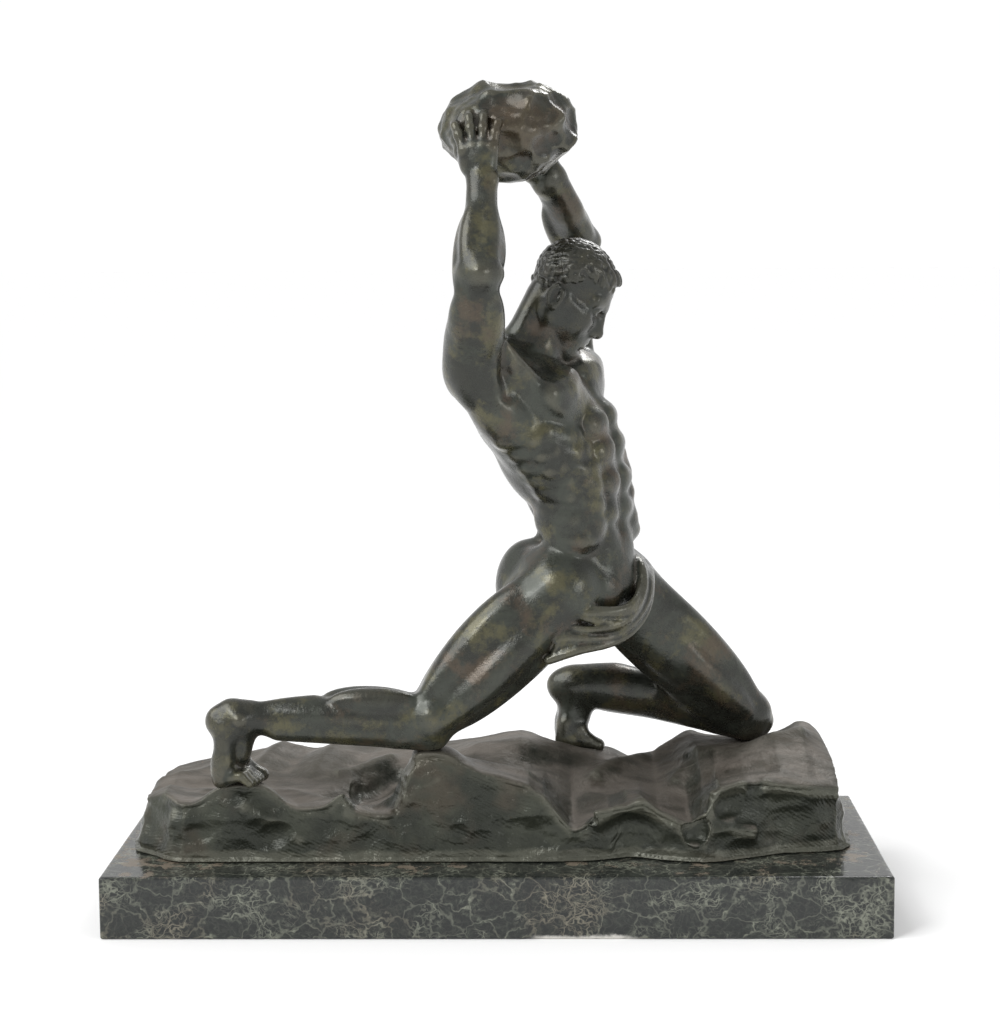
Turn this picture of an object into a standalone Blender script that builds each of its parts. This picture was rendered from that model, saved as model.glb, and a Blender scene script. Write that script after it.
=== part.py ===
# A bronze man who kneels on rocky ground and lifts a boulder over his head, on a marble plinth.
# Metres, +Z up, +X the way he faces, -Y the side seen from the front, origin at the middle of the underside.
import math

import bmesh
import bpy
import numpy as np
from mathutils import Matrix, Vector

# Bronze man: his height if he stood up straight. Every length in the tables of his
# body is a share of it, in 560ths.
STATURE = 0.560
SHARE = STATURE / 560

# Bronze ground: its height, how far it goes past the trailing foot, the leading knee and
# the far foot, and how deep the feet and knees are set into it
GROUND_HEIGHT = 0.040
GROUND_BEHIND = 0.0725
GROUND_AHEAD = 0.0543
GROUND_BESIDE = 0.0110
SOCKET_DEPTH = 0.0018

# Marble plinth: its height, its worn edge and the border that it shows round the ground
PLINTH_HEIGHT = 0.040
PLINTH_EDGE = 0.0016
PLINTH_BEHIND = 0.010
PLINTH_AHEAD = 0.024
PLINTH_BESIDE = 0.030

# Clearance left between pieces that touch
FIT_GAP = 0.0003

# Fineness of the sculpted surfaces
FIGURE_VOXEL = 2.2 * SHARE
FIGURE_FACES = 6300
GROUND_ACROSS = 50
GROUND_DEEP = 16


def vec(x, y, z):
    return Vector((x, y, z))


# Joints of the limbs in 560ths of the stature: x and y from the middle of the stance, z from
# GROUND_LEVEL below the top of the ground. The near limbs are his right ones, the far limbs his left ones.
GROUND_LEVEL = 40
NEAR = {
    "side": 1,
    "hip": vec(38.4, -28, 168), "knee": vec(-43, -50, 89.4),
    "ankle": vec(-164, -60, 92), "ball": vec(-167.5, -60, 52.6),
    "shoulder": vec(-12.9, -52, 316.8), "elbow": vec(-7.3, -90, 376.6), "wrist": vec(-6.4, -56, 434.8),
    "thumb": vec(-1, 0, 0),
}
FAR = {
    "side": -1,
    "hip": vec(80.6, 22, 160.3), "knee": vec(171.7, 48, 71.3),
    "ankle": vec(57.2, 62, 89.1), "ball": vec(53.9, 64, 50.2),
    "shoulder": vec(45.1, 50, 324.9), "elbow": vec(57.5, 78, 396), "wrist": vec(29.5, 38, 437.5),
    "thumb": vec(-1, -0.2, 0.2),
}
# The ground goes past the stance by its margins, and the plinth past the ground by its borders.
# The plinth is centred, so the ground and the man are placed from its left end.
GROUND_START = NEAR["ball"].x * SHARE - GROUND_BEHIND
GROUND_LENGTH = FAR["knee"].x * SHARE + GROUND_AHEAD - GROUND_START
GROUND_DEPTH = 2 * (FAR["ball"].y * SHARE + GROUND_BESIDE)
PLINTH_LENGTH = PLINTH_BEHIND + GROUND_LENGTH + PLINTH_AHEAD
PLINTH_DEPTH = GROUND_DEPTH + 2 * PLINTH_BESIDE
GROUND_MIDDLE = (PLINTH_BEHIND - PLINTH_AHEAD) / 2
FIGURE_SHIFT = PLINTH_BEHIND - PLINTH_LENGTH / 2 - GROUND_START
FIGURE_RISE = PLINTH_HEIGHT + GROUND_HEIGHT - GROUND_LEVEL * SHARE

HEAD_CENTRE = vec(48, 0, 371)
HEAD_PITCH = math.radians(30)
BOULDER_CENTRE = vec(8.6, -9, 467.3)
BITES = 30

# The trunk's centre line: height along it, x, y, z, and its turn toward the front in degrees
SPINE = (
    (-30, 61, -3, 138, 41),
    (0, 61.2, -2, 168.4, 41),
    (44, 58.7, 0, 212, 37),
    (78, 54, 0, 244, 33),
    (112, 40, 0, 275, 30),
    (160, 19.5, -1, 321, 29),
    (180, 12, -1, 340, 29),
)


def material(name, colour, roughness, metallic):
    new = bpy.data.materials.new(name)
    new.use_nodes = True
    shader = new.node_tree.nodes["Principled BSDF"]
    shader.inputs["Base Color"].default_value = (*colour, 1)
    shader.inputs["Roughness"].default_value = roughness
    shader.inputs["Metallic"].default_value = metallic
    return new


def add_object(name, mesh, mat):
    mesh.materials.append(mat)
    piece = bpy.data.objects.new(name, mesh)
    bpy.context.collection.objects.link(piece)
    return piece


def across(direction, guide):
    # the part of guide at right angles to direction, one long
    return (guide - guide.dot(direction) * direction).normalized()


class Sculpture:
    # collects overlapping ellipsoids and tapered rods that are fused into one skin later

    def __init__(self):
        self.form = bmesh.new()

    def ball(self, fineness):
        return bmesh.ops.create_icosphere(self.form, subdivisions=fineness, radius=1)["verts"]

    def lump(self, centre, radii, axes=None):
        # an ellipsoid: radii along the three axes
        axes = axes or (vec(1, 0, 0), vec(0, 1, 0), vec(0, 0, 1))
        for vertex in self.ball(4 if max(radii) > 24 else 3):
            parts = [axis * radius * part for axis, radius, part in zip(axes, radii, vertex.co)]
            vertex.co = centre + parts[0] + parts[1] + parts[2]

    def muscle(self, start, end, wide, thick, facing):
        # a spindle from start to end that lies flat against the way it faces
        along = (end - start).normalized()
        face = across(along, facing)
        side = face.cross(along)
        self.lump((start + end) / 2, ((end - start).length / 2, wide, thick), (along, side, face))

    def limb(self, start, end, start_size, end_size, facing=None):
        # a tapered rod with round ends: sizes are (half width, half thickness)
        along = (end - start).normalized()
        face = across(along, facing or vec(0.31, 0.53, 0.79))
        side = face.cross(along)
        for vertex in self.ball(3):
            x, y, z = vertex.co
            root, size = (end, end_size) if x > 0 else (start, start_size)
            vertex.co = root + along * x * (size[0] + size[1]) / 2 + side * y * size[0] + face * z * size[1]


class Bone:
    # a straight stretch with three directions: along it, its front and its outer side

    def __init__(self, start, end, front, outer_guide):
        self.start = start
        self.length = (end - start).length
        self.along = (end - start).normalized()
        self.front = across(self.along, front)
        outer = self.along.cross(self.front)
        self.outer = outer if outer.dot(outer_guide) > 0 else -outer

    def at(self, along, front=0, outer=0):
        return self.start + self.along * along * self.length + self.front * front + self.outer * outer

    def strands(self, form, table):
        # each row: along, front, outer at both ends, half width, half thickness
        for a0, f0, o0, a1, f1, o1, wide, thick in table:
            facing = self.front * (f0 + f1) + self.outer * (o0 + o1)
            form.muscle(self.at(a0, f0, o0), self.at(a1, f1, o1), wide, thick, facing)


def trunk_frame(height, side):
    table = np.array(SPINE)

    def centre(at):
        return Vector([float(np.interp(at, table[:, 0], table[:, k])) for k in (1, 2, 3)])

    up = (centre(height + 14) - centre(height - 14)).normalized()
    turn = math.radians(float(np.interp(height, table[:, 0], table[:, 4])))
    left = across(up, vec(math.sin(turn), math.cos(turn), 0.04))
    return centre(height), -left * side, up, left.cross(up)


def trunk_point(height, outward, front, side=1):
    centre, out, up, fore = trunk_frame(height, side)
    return centre + out * outward + fore * front


def trunk_lump(form, height, outward, front, radii, side=1, tip=0):
    centre, out, up, fore = trunk_frame(height, side)
    tilt = math.radians(tip)
    axes = (out * math.cos(tilt) + up * math.sin(tilt), up * math.cos(tilt) - out * math.sin(tilt), fore)
    form.lump(trunk_point(height, outward, front, side), radii, axes)


def trunk_muscle(form, start, end, wide, thick, side):
    centre, out, up, fore = trunk_frame((start[0] + end[0]) / 2, side)
    facing = out * (start[1] + end[1]) * 0.4 + fore * (start[2] + end[2]) * 0.5
    form.muscle(trunk_point(*start, side), trunk_point(*end, side), wide, thick, facing)


def model_trunk(form):
    # rib cage, loins and pelvis
    for height, front, radii in (
        (96, -1, (44, 42, 32.5)), (124, -3, (43, 35, 31)), (106, 8, (27, 22, 26.5)),
        (74, 2, (35, 31, 26)), (56, 1, (33, 37, 24)), (24, -1, (37, 30, 24)),
        (16, 11, (25, 23, 20)), (1, 9, (23, 21, 17)), (-6, -3, (44, 28, 27)),
    ):
        trunk_lump(form, height, 0, front, radii)
    for limbs in (NEAR, FAR):
        side = limbs["side"]
        shoulder = limbs["shoulder"]
        outward = trunk_frame(150, side)[1]
        # chest muscle, gathered toward the raised arm
        gather = shoulder * 0.62 + trunk_point(132, 40, 18, side) * 0.38
        for height, start_out, front, wide, thick in (
            (150, 7, 15, 12, 7), (140, 8, 23, 13, 8), (129, 12, 26, 11.5, 8.5),
        ):
            target = gather + vec(0, 0, (height - 132) * 0.25)
            frame = trunk_frame(height, side)
            start = trunk_point(height, start_out, front, side)
            form.muscle(start, target, wide, thick, frame[3] + frame[1] * 0.35)
        trunk_lump(form, 131, 22, 24.5, (23, 15.5, 8), side, 12)
        # broad back muscle and the shoulder blade
        trunk_muscle(form, (76, 24, -20), (136, 48, -8), 20, 12, side)
        trunk_muscle(form, (96, 38, -8), (146, 50, -4), 15, 12, side)
        trunk_lump(form, 138, 56, -7, (14, 19, 14), side)
        trunk_lump(form, 132, 29, -26, (19, 22, 10), side, -24)
        trunk_muscle(form, (112, 24, -28), (142, 50, -20), 9, 8, side)
        trunk_muscle(form, (140, 10, -27), (158, 42, -20), 9, 8, side)
        # cowl muscle from the nape to the shoulder and down the back
        for start, rise, inward, start_size, end_size in (
            ((172, 8, -6), 9, 6, (13, 9), (12, 9)), ((156, 12, -14), 0, 8, (15, 12), (13, 12)),
            ((140, 14, -20), -14, 10, (14, 10), (12, 10)), ((164, 10, 6), 4, 8, (11, 9), (11, 9)),
        ):
            end = shoulder + vec(0, 0, rise) - outward * inward
            form.limb(trunk_point(*start, side), end, start_size, end_size, vec(0, 0, 1))
        trunk_muscle(form, (84, 6, -30), (158, 13, -24), 11, 7, side)
        # strands beside the spine
        trunk_muscle(form, (-6, 9, -22), (60, 9, -22), 10, 8, side)
        trunk_muscle(form, (40, 9, -21), (100, 11, -28), 10, 8, side)
        # pads of the belly
        for height, out, front, tall, wide in (
            (106, 11, 30.5, 11, 12), (88, 10, 28, 10.5, 11), (69, 10, 25.5, 10, 11), (51, 10, 23.5, 9.5, 11),
            (27, 8.5, 22, 17, 11),
        ):
            trunk_lump(form, height, out, front, (wide, tall, 5.6), side)
        # side of the belly and its roll over the hip bone
        trunk_muscle(form, (30, 27, 12), (82, 32, 13), 15, 9, side)
        trunk_muscle(form, (32, 32, -4), (70, 31, -6), 15, 9.5, side)
        trunk_lump(form, 35, 30, 7, (11, 10, 17), side)
        trunk_lump(form, 39, 21, 16.5, (9, 9, 7.5), side)
        form.limb(trunk_point(8, 34, 17, side), trunk_point(22, 37, -2, side), (5, 5), (6, 6))
        # strands on the ribs
        for k in range(5):
            top = 124 - 11 * k
            trunk_muscle(form, (top, 46 - 1.4 * k, 2 + 0.5 * k), (top - 14, 34 - 2.2 * k, 21 + 0.3 * k), 6.2, 5.2, side)
        form.limb(trunk_point(104, 8, 30, side), trunk_point(74, 28, 20, side), (5, 4), (5, 4))
        # collar bone
        form.limb(trunk_point(158, 5, 20, side), shoulder + vec(0, 0, 8), (3.6, 3.6), (3.6, 3.6))
        # buttock
        trunk_lump(form, 1, 22, -29, (24, 32, 23), side)
        trunk_lump(form, 6, 33, -14, (14, 24, 21), side)


def model_leg(form, limbs):
    hip, knee, ankle = limbs["hip"], limbs["knee"], limbs["ankle"]
    outer_guide = vec(0, -limbs["side"], 0)
    thigh_way = (knee - hip).normalized()
    shin_way = (ankle - knee).normalized()
    thigh = Bone(hip, knee, -shin_way, outer_guide)
    shin = Bone(knee, ankle, thigh_way, outer_guide)
    form.limb(thigh.at(-0.02, 2), thigh.at(1), (27, 29), (15, 16), thigh.front)
    thigh.strands(form, (
        (-0.02, 20.5, 3, 0.94, 14, 0, 12.5, 12),
        (0.02, 9, 15, 0.97, 7, 10, 13, 13),
        (0.30, 11, -12, 1.02, 6, -10, 11.5, 12),
        (-0.05, 0, -14, 0.72, -4, -11, 15, 13),
        (-0.02, -18, 7, 1.0, -11, 9, 11, 11),
        (-0.02, -19, -7, 1.0, -11, -9, 11, 11),
        (0.72, 12, 0, 1.04, 14, 0, 7, 4.5),
    ))
    # knee: two knuckles of the thigh bone, the cap and its tendon
    deep = thigh_way.dot(shin_way) < 0
    cap = (thigh.front * (0.45 if deep else 0.8) + thigh_way * 0.75 + shin.front * 0.5).normalized()
    for way in (1, -1):
        form.lump(knee + thigh.outer * 8.5 * way - shin_way, (12, 11.5, 12.5))
    form.lump(knee + cap * 13.3, (9.5, 10.5, 5.5), (thigh.outer, cap.cross(thigh.outer).normalized(), cap))
    form.limb(knee + cap * 13, shin.at(0.17, 12.5), (4.2, 3.4), (3.6, 3.2), shin.front)
    # shin
    form.limb(shin.at(0), shin.at(1), (13.5, 14), (8.4, 9), shin.front)
    form.limb(shin.at(0, 8.5), shin.at(0.8, 6.5), (11, 11.5), (7, 7.5), shin.front)
    shin.strands(form, (
        (0.03, -9, -7, 0.58, -12, -5, 10, 11.5),
        (0.03, -9, 7, 0.54, -11, 6, 9.5, 11),
        (0.25, -4, 4, 0.86, -6, 2, 9.5, 8),
        (0.25, -4, -4, 0.86, -6, -2, 9.5, 8),
        (0.06, 7, 5.5, 0.80, 6, 3, 6.5, 7),
        (0.06, 1, 10, 0.78, -1, 6.5, 6, 6),
    ))
    form.limb(shin.at(0.10, 9.5, -3.5), shin.at(0.95, 6.5, -3), (4, 4), (3.4, 3.4), shin.front)
    model_foot(form, limbs, shin)


def model_foot(form, limbs, shin):
    # the foot stands on the ball with the sole upright behind it and the toes bent forward
    foot = Bone(limbs["ankle"], limbs["ball"], vec(-1, 0, 0), vec(0, -limbs["side"], 0))
    back = foot.front
    ankle = limbs["ankle"]

    def at(down, behind, out):
        return ankle + foot.along * down + back * behind + foot.outer * out

    form.limb(shin.at(0.62, -10), at(-2, 14, 0), (4.6, 4.2), (5, 4), back)
    form.limb(at(-2, 6, 0), at(3, 12.5, 0), (10, 11), (9.5, 11), back)
    form.lump(at(1, 0, 0), (11, 11, 11))
    form.lump(at(-1, 0, 9.5), (4.6, 4.4, 4))
    form.lump(at(-3, -1, -9.5), (5, 4.6, 4))
    form.limb(at(2, 3, -2), at(33, 5, -5), (11.5, 13), (9, 9), back)
    form.limb(at(6, 9, 5), at(33, 9, 8), (7.5, 7), (7.5, 6), back)
    form.limb(at(-4, -5, -1), at(22, -3, -3), (8, 6), (7, 4), back)
    form.limb(at(26, 8, -9), at(36, 8, -10), (7.5, 7.5), (7.5, 7.5), back)
    form.limb(at(28, 9, 7), at(38, 9, 8), (7.5, 7), (7, 6), back)
    form.limb(at(35, 2, -9), at(35.5, 2, 7), (5.5, 5.5), (5, 5), back)
    for k, (reach, size) in enumerate(zip((17.5, 17, 16, 14.5, 12.5), (5.2, 3.4, 3.2, 3.1, 3.0))):
        out = -10.5 + 5.4 * k - (1.6 if k == 0 else 0)
        middle = at(35.5, 3 - 0.55 * reach, out)
        form.limb(at(37.5 - 0.3 * k, 3, out), middle, (size * 1.05, size * 1.1), (size, size), back)
        form.limb(middle, at(39.3 - 0.6 * (size - 3), 3 - reach, out), (size, size), (size * 1.05, size * 0.85), foot.along)


def model_arm(form, limbs):
    shoulder, elbow, wrist = limbs["shoulder"], limbs["elbow"], limbs["wrist"]
    upper = Bone(shoulder, elbow, wrist - elbow, limbs["thumb"])
    fore = Bone(elbow, wrist, shoulder - elbow, limbs["thumb"])
    flex = upper.front
    form.limb(upper.at(-0.05), upper.at(1), (15.5, 15.5), (12.5, 12), flex)
    upper.strands(form, (
        (0.12, 8, 1, 0.98, 7.5, 0, 10.5, 9.5),
        (0.45, 3, 8, 1.02, 3, 6, 6, 6.5),
        (-0.05, -7, -7, 0.90, -9, -8.5, 11, 9),
        (0.06, -7, 7, 0.90, -8, 9.5, 11, 9),
    ))
    # cap of the shoulder
    form.lump(upper.at(0, -1, 2), (15.5, 15.5, 15.5))
    form.muscle(upper.at(-0.22, 8, 3), upper.at(0.56, 2, 11), 10, 9, flex + upper.outer)
    form.muscle(upper.at(-0.28, -2, 10), upper.at(0.60, -1, 12), 11, 9, upper.outer)
    form.muscle(upper.at(-0.24, -12, 2), upper.at(0.54, -4, 10), 10, 9, upper.outer - flex)
    # folds of the armpit: the back muscle behind, the chest muscle in front
    form.limb(trunk_point(128, 44, -12, limbs["side"]), upper.at(0.38, -8, 0), (13, 10), (7, 7), flex)
    form.limb(trunk_point(132, 40, 14, limbs["side"]), upper.at(0.38, -1, -8), (12, 9), (6, 6), flex)
    # elbow
    form.lump(elbow, (11, 11, 11))
    form.lump(elbow - flex * 5 - fore.front * 5.5, (6, 6.5, 6))
    form.lump(elbow + upper.outer * 9.5, (5.5, 6, 5.5))
    form.lump(elbow - upper.outer * 10, (5.2, 5.5, 5.2))
    # forearm
    form.limb(fore.at(0), fore.at(1), (11, 11), (9.6, 6.4), fore.front)
    fore.strands(form, (
        (-0.22, 6, 10.5, 0.66, 4, 8, 7.5, 8),
        (0.0, -4, 8, 0.70, -4, 5, 7, 7.5),
        (0.0, 4, -9.5, 0.72, 3, -4, 9, 9),
        (0.02, -5, -6, 0.74, -4, -5, 6.5, 6.5),
        (0.05, 6, 0, 0.72, 4, 0, 8, 7),
    ))


def model_hand(form, wrist, up, thumb_way, palm, curl, thumb, length):
    # palm, four fingers of three joints that curl onto the boulder, and the thumb under it
    up = up.normalized()
    palm = across(up, palm)
    thumb_way = across(palm, across(up, thumb_way))

    def at(rise, out, deep):
        return wrist + up * rise + thumb_way * out + palm * deep

    form.limb(at(-3, 0, 0), at(8, 0.5, 0), (9.6, 7), (12, 7.5), palm)
    form.limb(at(6, 6, 2), at(length, 7, 4), (6, 6), (6, 6), palm)
    for k, out in enumerate((10.2, 3.5, -3.4, -9.6)):
        knuckle = at(length - (1.5, 0, 0.6, 2.6)[k], out, -0.5 * abs(k - 1.3))
        form.limb(at(3, out * 0.7, 0.5), knuckle, (4.6, 5.2), (4.3, 4.3), palm)
        angle = 0
        for reach, turn, size in zip((13.6, 10.2, 7.0), curl, (3.9, 3.5, 3.1)):
            angle += math.radians(turn)
            way = up * math.cos(angle) + palm * math.sin(angle) + thumb_way * (0.26, 0.07, -0.08, -0.30)[k]
            tip = knuckle + way.normalized() * reach * (0.88, 1.0, 0.97, 0.80)[k]
            form.limb(knuckle, tip, (size, size), (size - 0.3, size - 0.3))
            knuckle = tip
    root = at(4, 8, 3)
    for step, size in zip(thumb, (5.4, 4.2, 3.6)):
        form.limb(root, root + step, (size, size), (size - 0.6, size - 0.6), palm)
        root = root + step


def model_head(form):
    front = vec(math.cos(HEAD_PITCH), -0.06, -math.sin(HEAD_PITCH)).normalized()
    left = across(front, vec(0.06, 1, 0))
    up = front.cross(left)
    axes = (left, up, front)

    def at(out, rise, fore):
        return HEAD_CENTRE + left * out + up * rise + front * fore

    form.limb(trunk_point(158, 0, 2), at(0, -20, -5), (20, 19.5), (17.5, 17.5), front)
    form.lump(at(0, 1.5, 0), (23, 23.5, 25.5), axes)
    form.lump(at(0, -4, 8), (21.5, 24, 20), axes)
    form.lump(at(0, 2.2, -1.2), (23.8, 23.8, 25.8), axes)
    form.limb(at(0, -22, 9), at(0, -36, 16), (16.5, 15), (10.5, 9.5), front)
    for side in (1, -1):
        form.limb(at(-17 * side, -19, -6), trunk_point(160, 6, 19, side), (5.5, 5), (4, 4))
        form.limb(at(-10 * side, -16, -14), trunk_point(163, 16, -8, side), (8, 7), (10, 8))
        # jaw, cheek bone, brow and ear
        form.limb(at(17.5 * side, -25, 0), at(6 * side, -39.5, 21), (5, 6), (4.6, 4.6))
        form.limb(at(17.5 * side, -12, 0), at(17.5 * side, -26, 1), (4.6, 7), (4.5, 6))
        form.limb(at(19.5 * side, -14, 6), at(12.5 * side, -16.5, 21.5), (3.4, 3.6), (4.4, 4))
        form.limb(at(3.5 * side, -4, 27), at(15.5 * side, -3.6, 21.5), (2.2, 3), (2, 2.8), up)
        form.lump(at(23.8 * side, -14.5, -4), (3.4, 9, 5.4), axes)
    # nose, lips and chin
    form.limb(at(0, -7, 27.2), at(0, -20.5, 33.6), (2.5, 3), (2.9, 3.4), front)
    form.lump(at(0, -22, 32), (4.6, 3, 4), axes)
    form.lump(at(0, -31, 23), (10.5, 9, 8), axes)
    form.limb(at(-4, -30.5, 29), at(4, -30.5, 29), (1.6, 1.6), (1.6, 1.6))
    form.limb(at(-3, -33.8, 29), at(3, -33.8, 29), (1.7, 1.7), (1.7, 1.7))
    form.lump(at(0, -41.3, 24.3), (7, 5.2, 6.2), axes)
    # locks of hair in rows over the skull
    for row in range(1, 8):
        polar = math.radians(8 + row * 14.5)
        count = max(4, round(2 * math.pi * math.sin(polar) * 25 / 10))
        for k in range(count):
            turn = 2 * math.pi * (k + 0.5 * (row % 2)) / count
            out, fore, rise = math.sin(polar) * math.sin(turn), math.sin(polar) * math.cos(turn), math.cos(polar)
            low, ahead = rise * 24.6 + 2, fore * 26.4 - 1
            if (ahead > 4 and low < 13) or (ahead > -13 and low < -4) or low < -18:
                continue
            root = at(out * 24.4, low, ahead)
            normal = (left * out + up * rise + front * fore).normalized()
            flow = across(normal, -up * 0.55 - front * 0.9)
            form.muscle(root - flow * 5.5, root + flow * 5.5, 3.0, 2.2, normal)


def model_cloth(form):
    # a folded band between its upper and lower hems, from the near groin over the belly, round the
    # far hip and back beneath him
    upper = (
        (50, -43, 166), (66, -46, 161), (83, -41, 159), (91, -32, 164), (94, -19, 173), (93, -6, 184), (89, 14, 188),
        (82, 38, 181), (66, 58, 168), (44, 50, 156), (28, 26, 147), (28, 2, 140), (38, -20, 140),
    )
    lower = (
        (35, -50, 130), (53, -51, 134), (72, -45, 137), (88, -34, 144), (99, -20, 157), (101, -6, 172), (98, 18, 178),
        (90, 44, 168), (70, 62, 156), (46, 52, 146), (30, 26, 136), (31, 2, 130), (38, -18, 132),
    )
    strands = 6
    for k in range(strands):
        share = k / (strands - 1)
        fold = 1.0 if k % 2 else -0.6
        line = [Vector(a).lerp(Vector(b), share) for a, b in zip(upper, lower)]
        line = [at + across(vec(0, 0, 1), at - vec(62, 0, 165)) * fold for at in line]
        for start, end in zip(line, line[1:]):
            form.limb(start, end, (3.4, 3.4), (3.4, 3.4))


def model_boulder(form):
    # an ellipsoid struck flat: beyond each facet's plane the stone is pushed back onto it
    facets = (
        ((0.05, -0.3, 1), 0.86), ((0.2, -1, 0.35), 0.84), ((0.6, -0.6, 0.75), 0.88), ((0.5, -0.85, -0.4), 0.84),
        ((1, -0.25, 0.1), 0.9), ((0.8, -0.3, -0.8), 0.86), ((-1, -0.3, 0.35), 0.9), ((-0.7, -0.5, 0.8), 0.9),
        ((-0.9, -0.3, -0.7), 0.88), ((0.1, 0.2, -1), 0.9), ((0.5, 1, 0.3), 0.86), ((-0.6, 1, 0.1), 0.86),
        ((0.2, 0.9, 0.9), 0.88), ((0.1, 1, -0.8), 0.88), ((0.9, 0.6, 0.5), 0.88),
    )
    size = (48, 44, 34)
    for vertex in form.ball(5):
        unit = vertex.co.copy()
        for way, reach in facets:
            plane = Vector(way).normalized()
            over = unit.dot(plane) - reach
            if over > 0:
                unit -= plane * over
        # shallow bowls struck all over, set out along a spiral
        for k in range(BITES):
            rise = 1 - (2 * k + 1) / BITES
            turn = k * math.radians(137.5)
            wide = math.sqrt(1 - rise * rise)
            bite = vec(wide * math.cos(turn), wide * math.sin(turn), rise)
            near = 1 - ((unit.normalized() - bite).length / 0.36) ** 2
            if near > 0:
                unit *= 1 - 0.085 * near
        unit *= 1.02
        vertex.co = BOULDER_CENTRE + vec(unit.x * size[0], unit.y * size[1], unit.z * size[2])


def largest_body(mesh):
    # keep only the biggest closed skin of a mesh
    form = bmesh.new()
    form.from_mesh(mesh)
    form.verts.ensure_lookup_table()
    left = set(form.verts)
    bodies = []
    while left:
        front = [left.pop()]
        body = list(front)
        while front:
            vertex = front.pop()
            for edge in vertex.link_edges:
                other = edge.other_vert(vertex)
                if other in left:
                    left.discard(other)
                    front.append(other)
                    body.append(other)
        bodies.append(body)
    keep = set(max(bodies, key=len))
    bmesh.ops.delete(form, geom=[v for v in form.verts if v not in keep], context="VERTS")
    form.to_mesh(mesh)
    form.free()


def evaluated(piece, name):
    # the piece's mesh with its modifiers, as a new mesh
    bpy.context.view_layer.update()
    shape = piece.evaluated_get(bpy.context.evaluated_depsgraph_get())
    mesh = bpy.data.meshes.new_from_object(shape)
    mesh.name = name
    return mesh


def make_figure(mat):
    form = Sculpture()
    model_trunk(form)
    for limbs in (NEAR, FAR):
        model_leg(form, limbs)
        model_arm(form, limbs)
    model_head(form)
    model_cloth(form)
    model_boulder(form)
    model_hand(form, NEAR["wrist"], vec(-0.12, 0.05, 1), vec(-1, 0.1, -0.15), vec(0.08, 1, 0.1), (12, 26, 30),
               (vec(-6, 9, 8), vec(-3, 9, 8), vec(0, 8, 5)), 16.5)
    model_hand(form, FAR["wrist"], vec(-0.35, 0.02, 1), vec(-0.9, -0.25, -0.2), vec(-0.3, -1, 0.05), (16, 26, 22),
               (vec(-9, -6, 3), vec(-8, -7, 5), vec(-6, -5, 5)), 21)
    bmesh.ops.transform(form.form, verts=form.form.verts,
                        matrix=Matrix.Translation((FIGURE_SHIFT, 0, FIGURE_RISE)) @ Matrix.Scale(SHARE, 4))
    mesh = bpy.data.meshes.new("figure")
    form.form.to_mesh(mesh)
    form.form.free()
    rough = bpy.data.objects.new("figure_strands", mesh)
    bpy.context.collection.objects.link(rough)
    # fuse the strands into one skin and soften the seams between them
    fuse = rough.modifiers.new("fuse", "REMESH")
    fuse.mode = "VOXEL"
    fuse.voxel_size = FIGURE_VOXEL
    soften = rough.modifiers.new("soften", "SMOOTH")
    soften.factor = 0.5
    soften.iterations = 3
    skin = evaluated(rough, "figure")
    bpy.data.objects.remove(rough)
    largest_body(skin)
    piece = add_object("figure", skin, mat)
    thin = piece.modifiers.new("thin", "DECIMATE")
    thin.ratio = FIGURE_FACES / (2 * len(skin.polygons))
    mesh = evaluated(piece, "figure")
    bpy.data.objects.remove(piece)
    mesh.materials.clear()
    piece = add_object("figure", mesh, mat)
    mesh.shade_smooth()
    return piece


def ground_height(x, y, seats):
    # height of the ground over the plinth: a plateau with hills and hollows, and level seats
    # under the feet and knees. x and y are shares of half the ground's length and depth.
    height = np.ones_like(x)
    hills = (  # x, y, half width, half depth, rise, all as shares
        (-0.03, -0.85, 0.17, 0.42, 0.52), (0.18, -0.80, 0.12, 0.45, 0.16), (-0.42, 0.75, 0.24, 0.45, 0.24),
        (0.10, 0.60, 0.24, 0.50, 0.45), (0.36, 0.80, 0.16, 0.40, 0.22), (0.86, 0.35, 0.13, 0.70, 0.72),
        (0.68, -0.75, 0.22, 0.40, 0.30), (-0.33, -1.00, 0.09, 0.40, -0.42), (0.27, -1.02, 0.09, 0.36, -0.60),
        (0.57, -1.02, 0.08, 0.36, -0.55), (0.46, 0.45, 0.10, 0.60, -0.10), (-0.62, 0.10, 0.14, 0.45, -0.12),
        (0.45, -0.35, 0.18, 0.40, -0.12), (-0.95, -0.3, 0.10, 0.60, -0.25),
        (-0.58, 0.82, 0.06, 0.30, 0.16), (-0.30, 0.80, 0.05, 0.28, 0.10), (-0.80, -0.80, 0.12, 0.30, 0.10),
        (-0.62, -0.95, 0.06, 0.25, -0.16), (0.06, -1.00, 0.06, 0.26, -0.14), (0.74, 0.85, 0.06, 0.30, 0.14),
        (-0.15, 0.30, 0.07, 0.35, -0.10), (0.62, -0.10, 0.07, 0.40, 0.10), (-0.40, -0.20, 0.08, 0.40, 0.10),
    )
    for hx, hy, wide, deep, rise in hills:
        height += rise * np.exp(-((x - hx) / wide) ** 2 - ((y - hy) / deep) ** 2)
    height *= GROUND_HEIGHT
    wx, wy = x * GROUND_LENGTH / 2 + GROUND_MIDDLE, y * GROUND_DEPTH / 2
    for seat_x, seat_y, seat, reach, deep in seats:
        near = np.exp(-(((wx - seat_x) / reach) ** 2 + ((wy - seat_y) / deep) ** 2) ** 2)
        height = height * (1 - near) + seat * near
    return height


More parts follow.
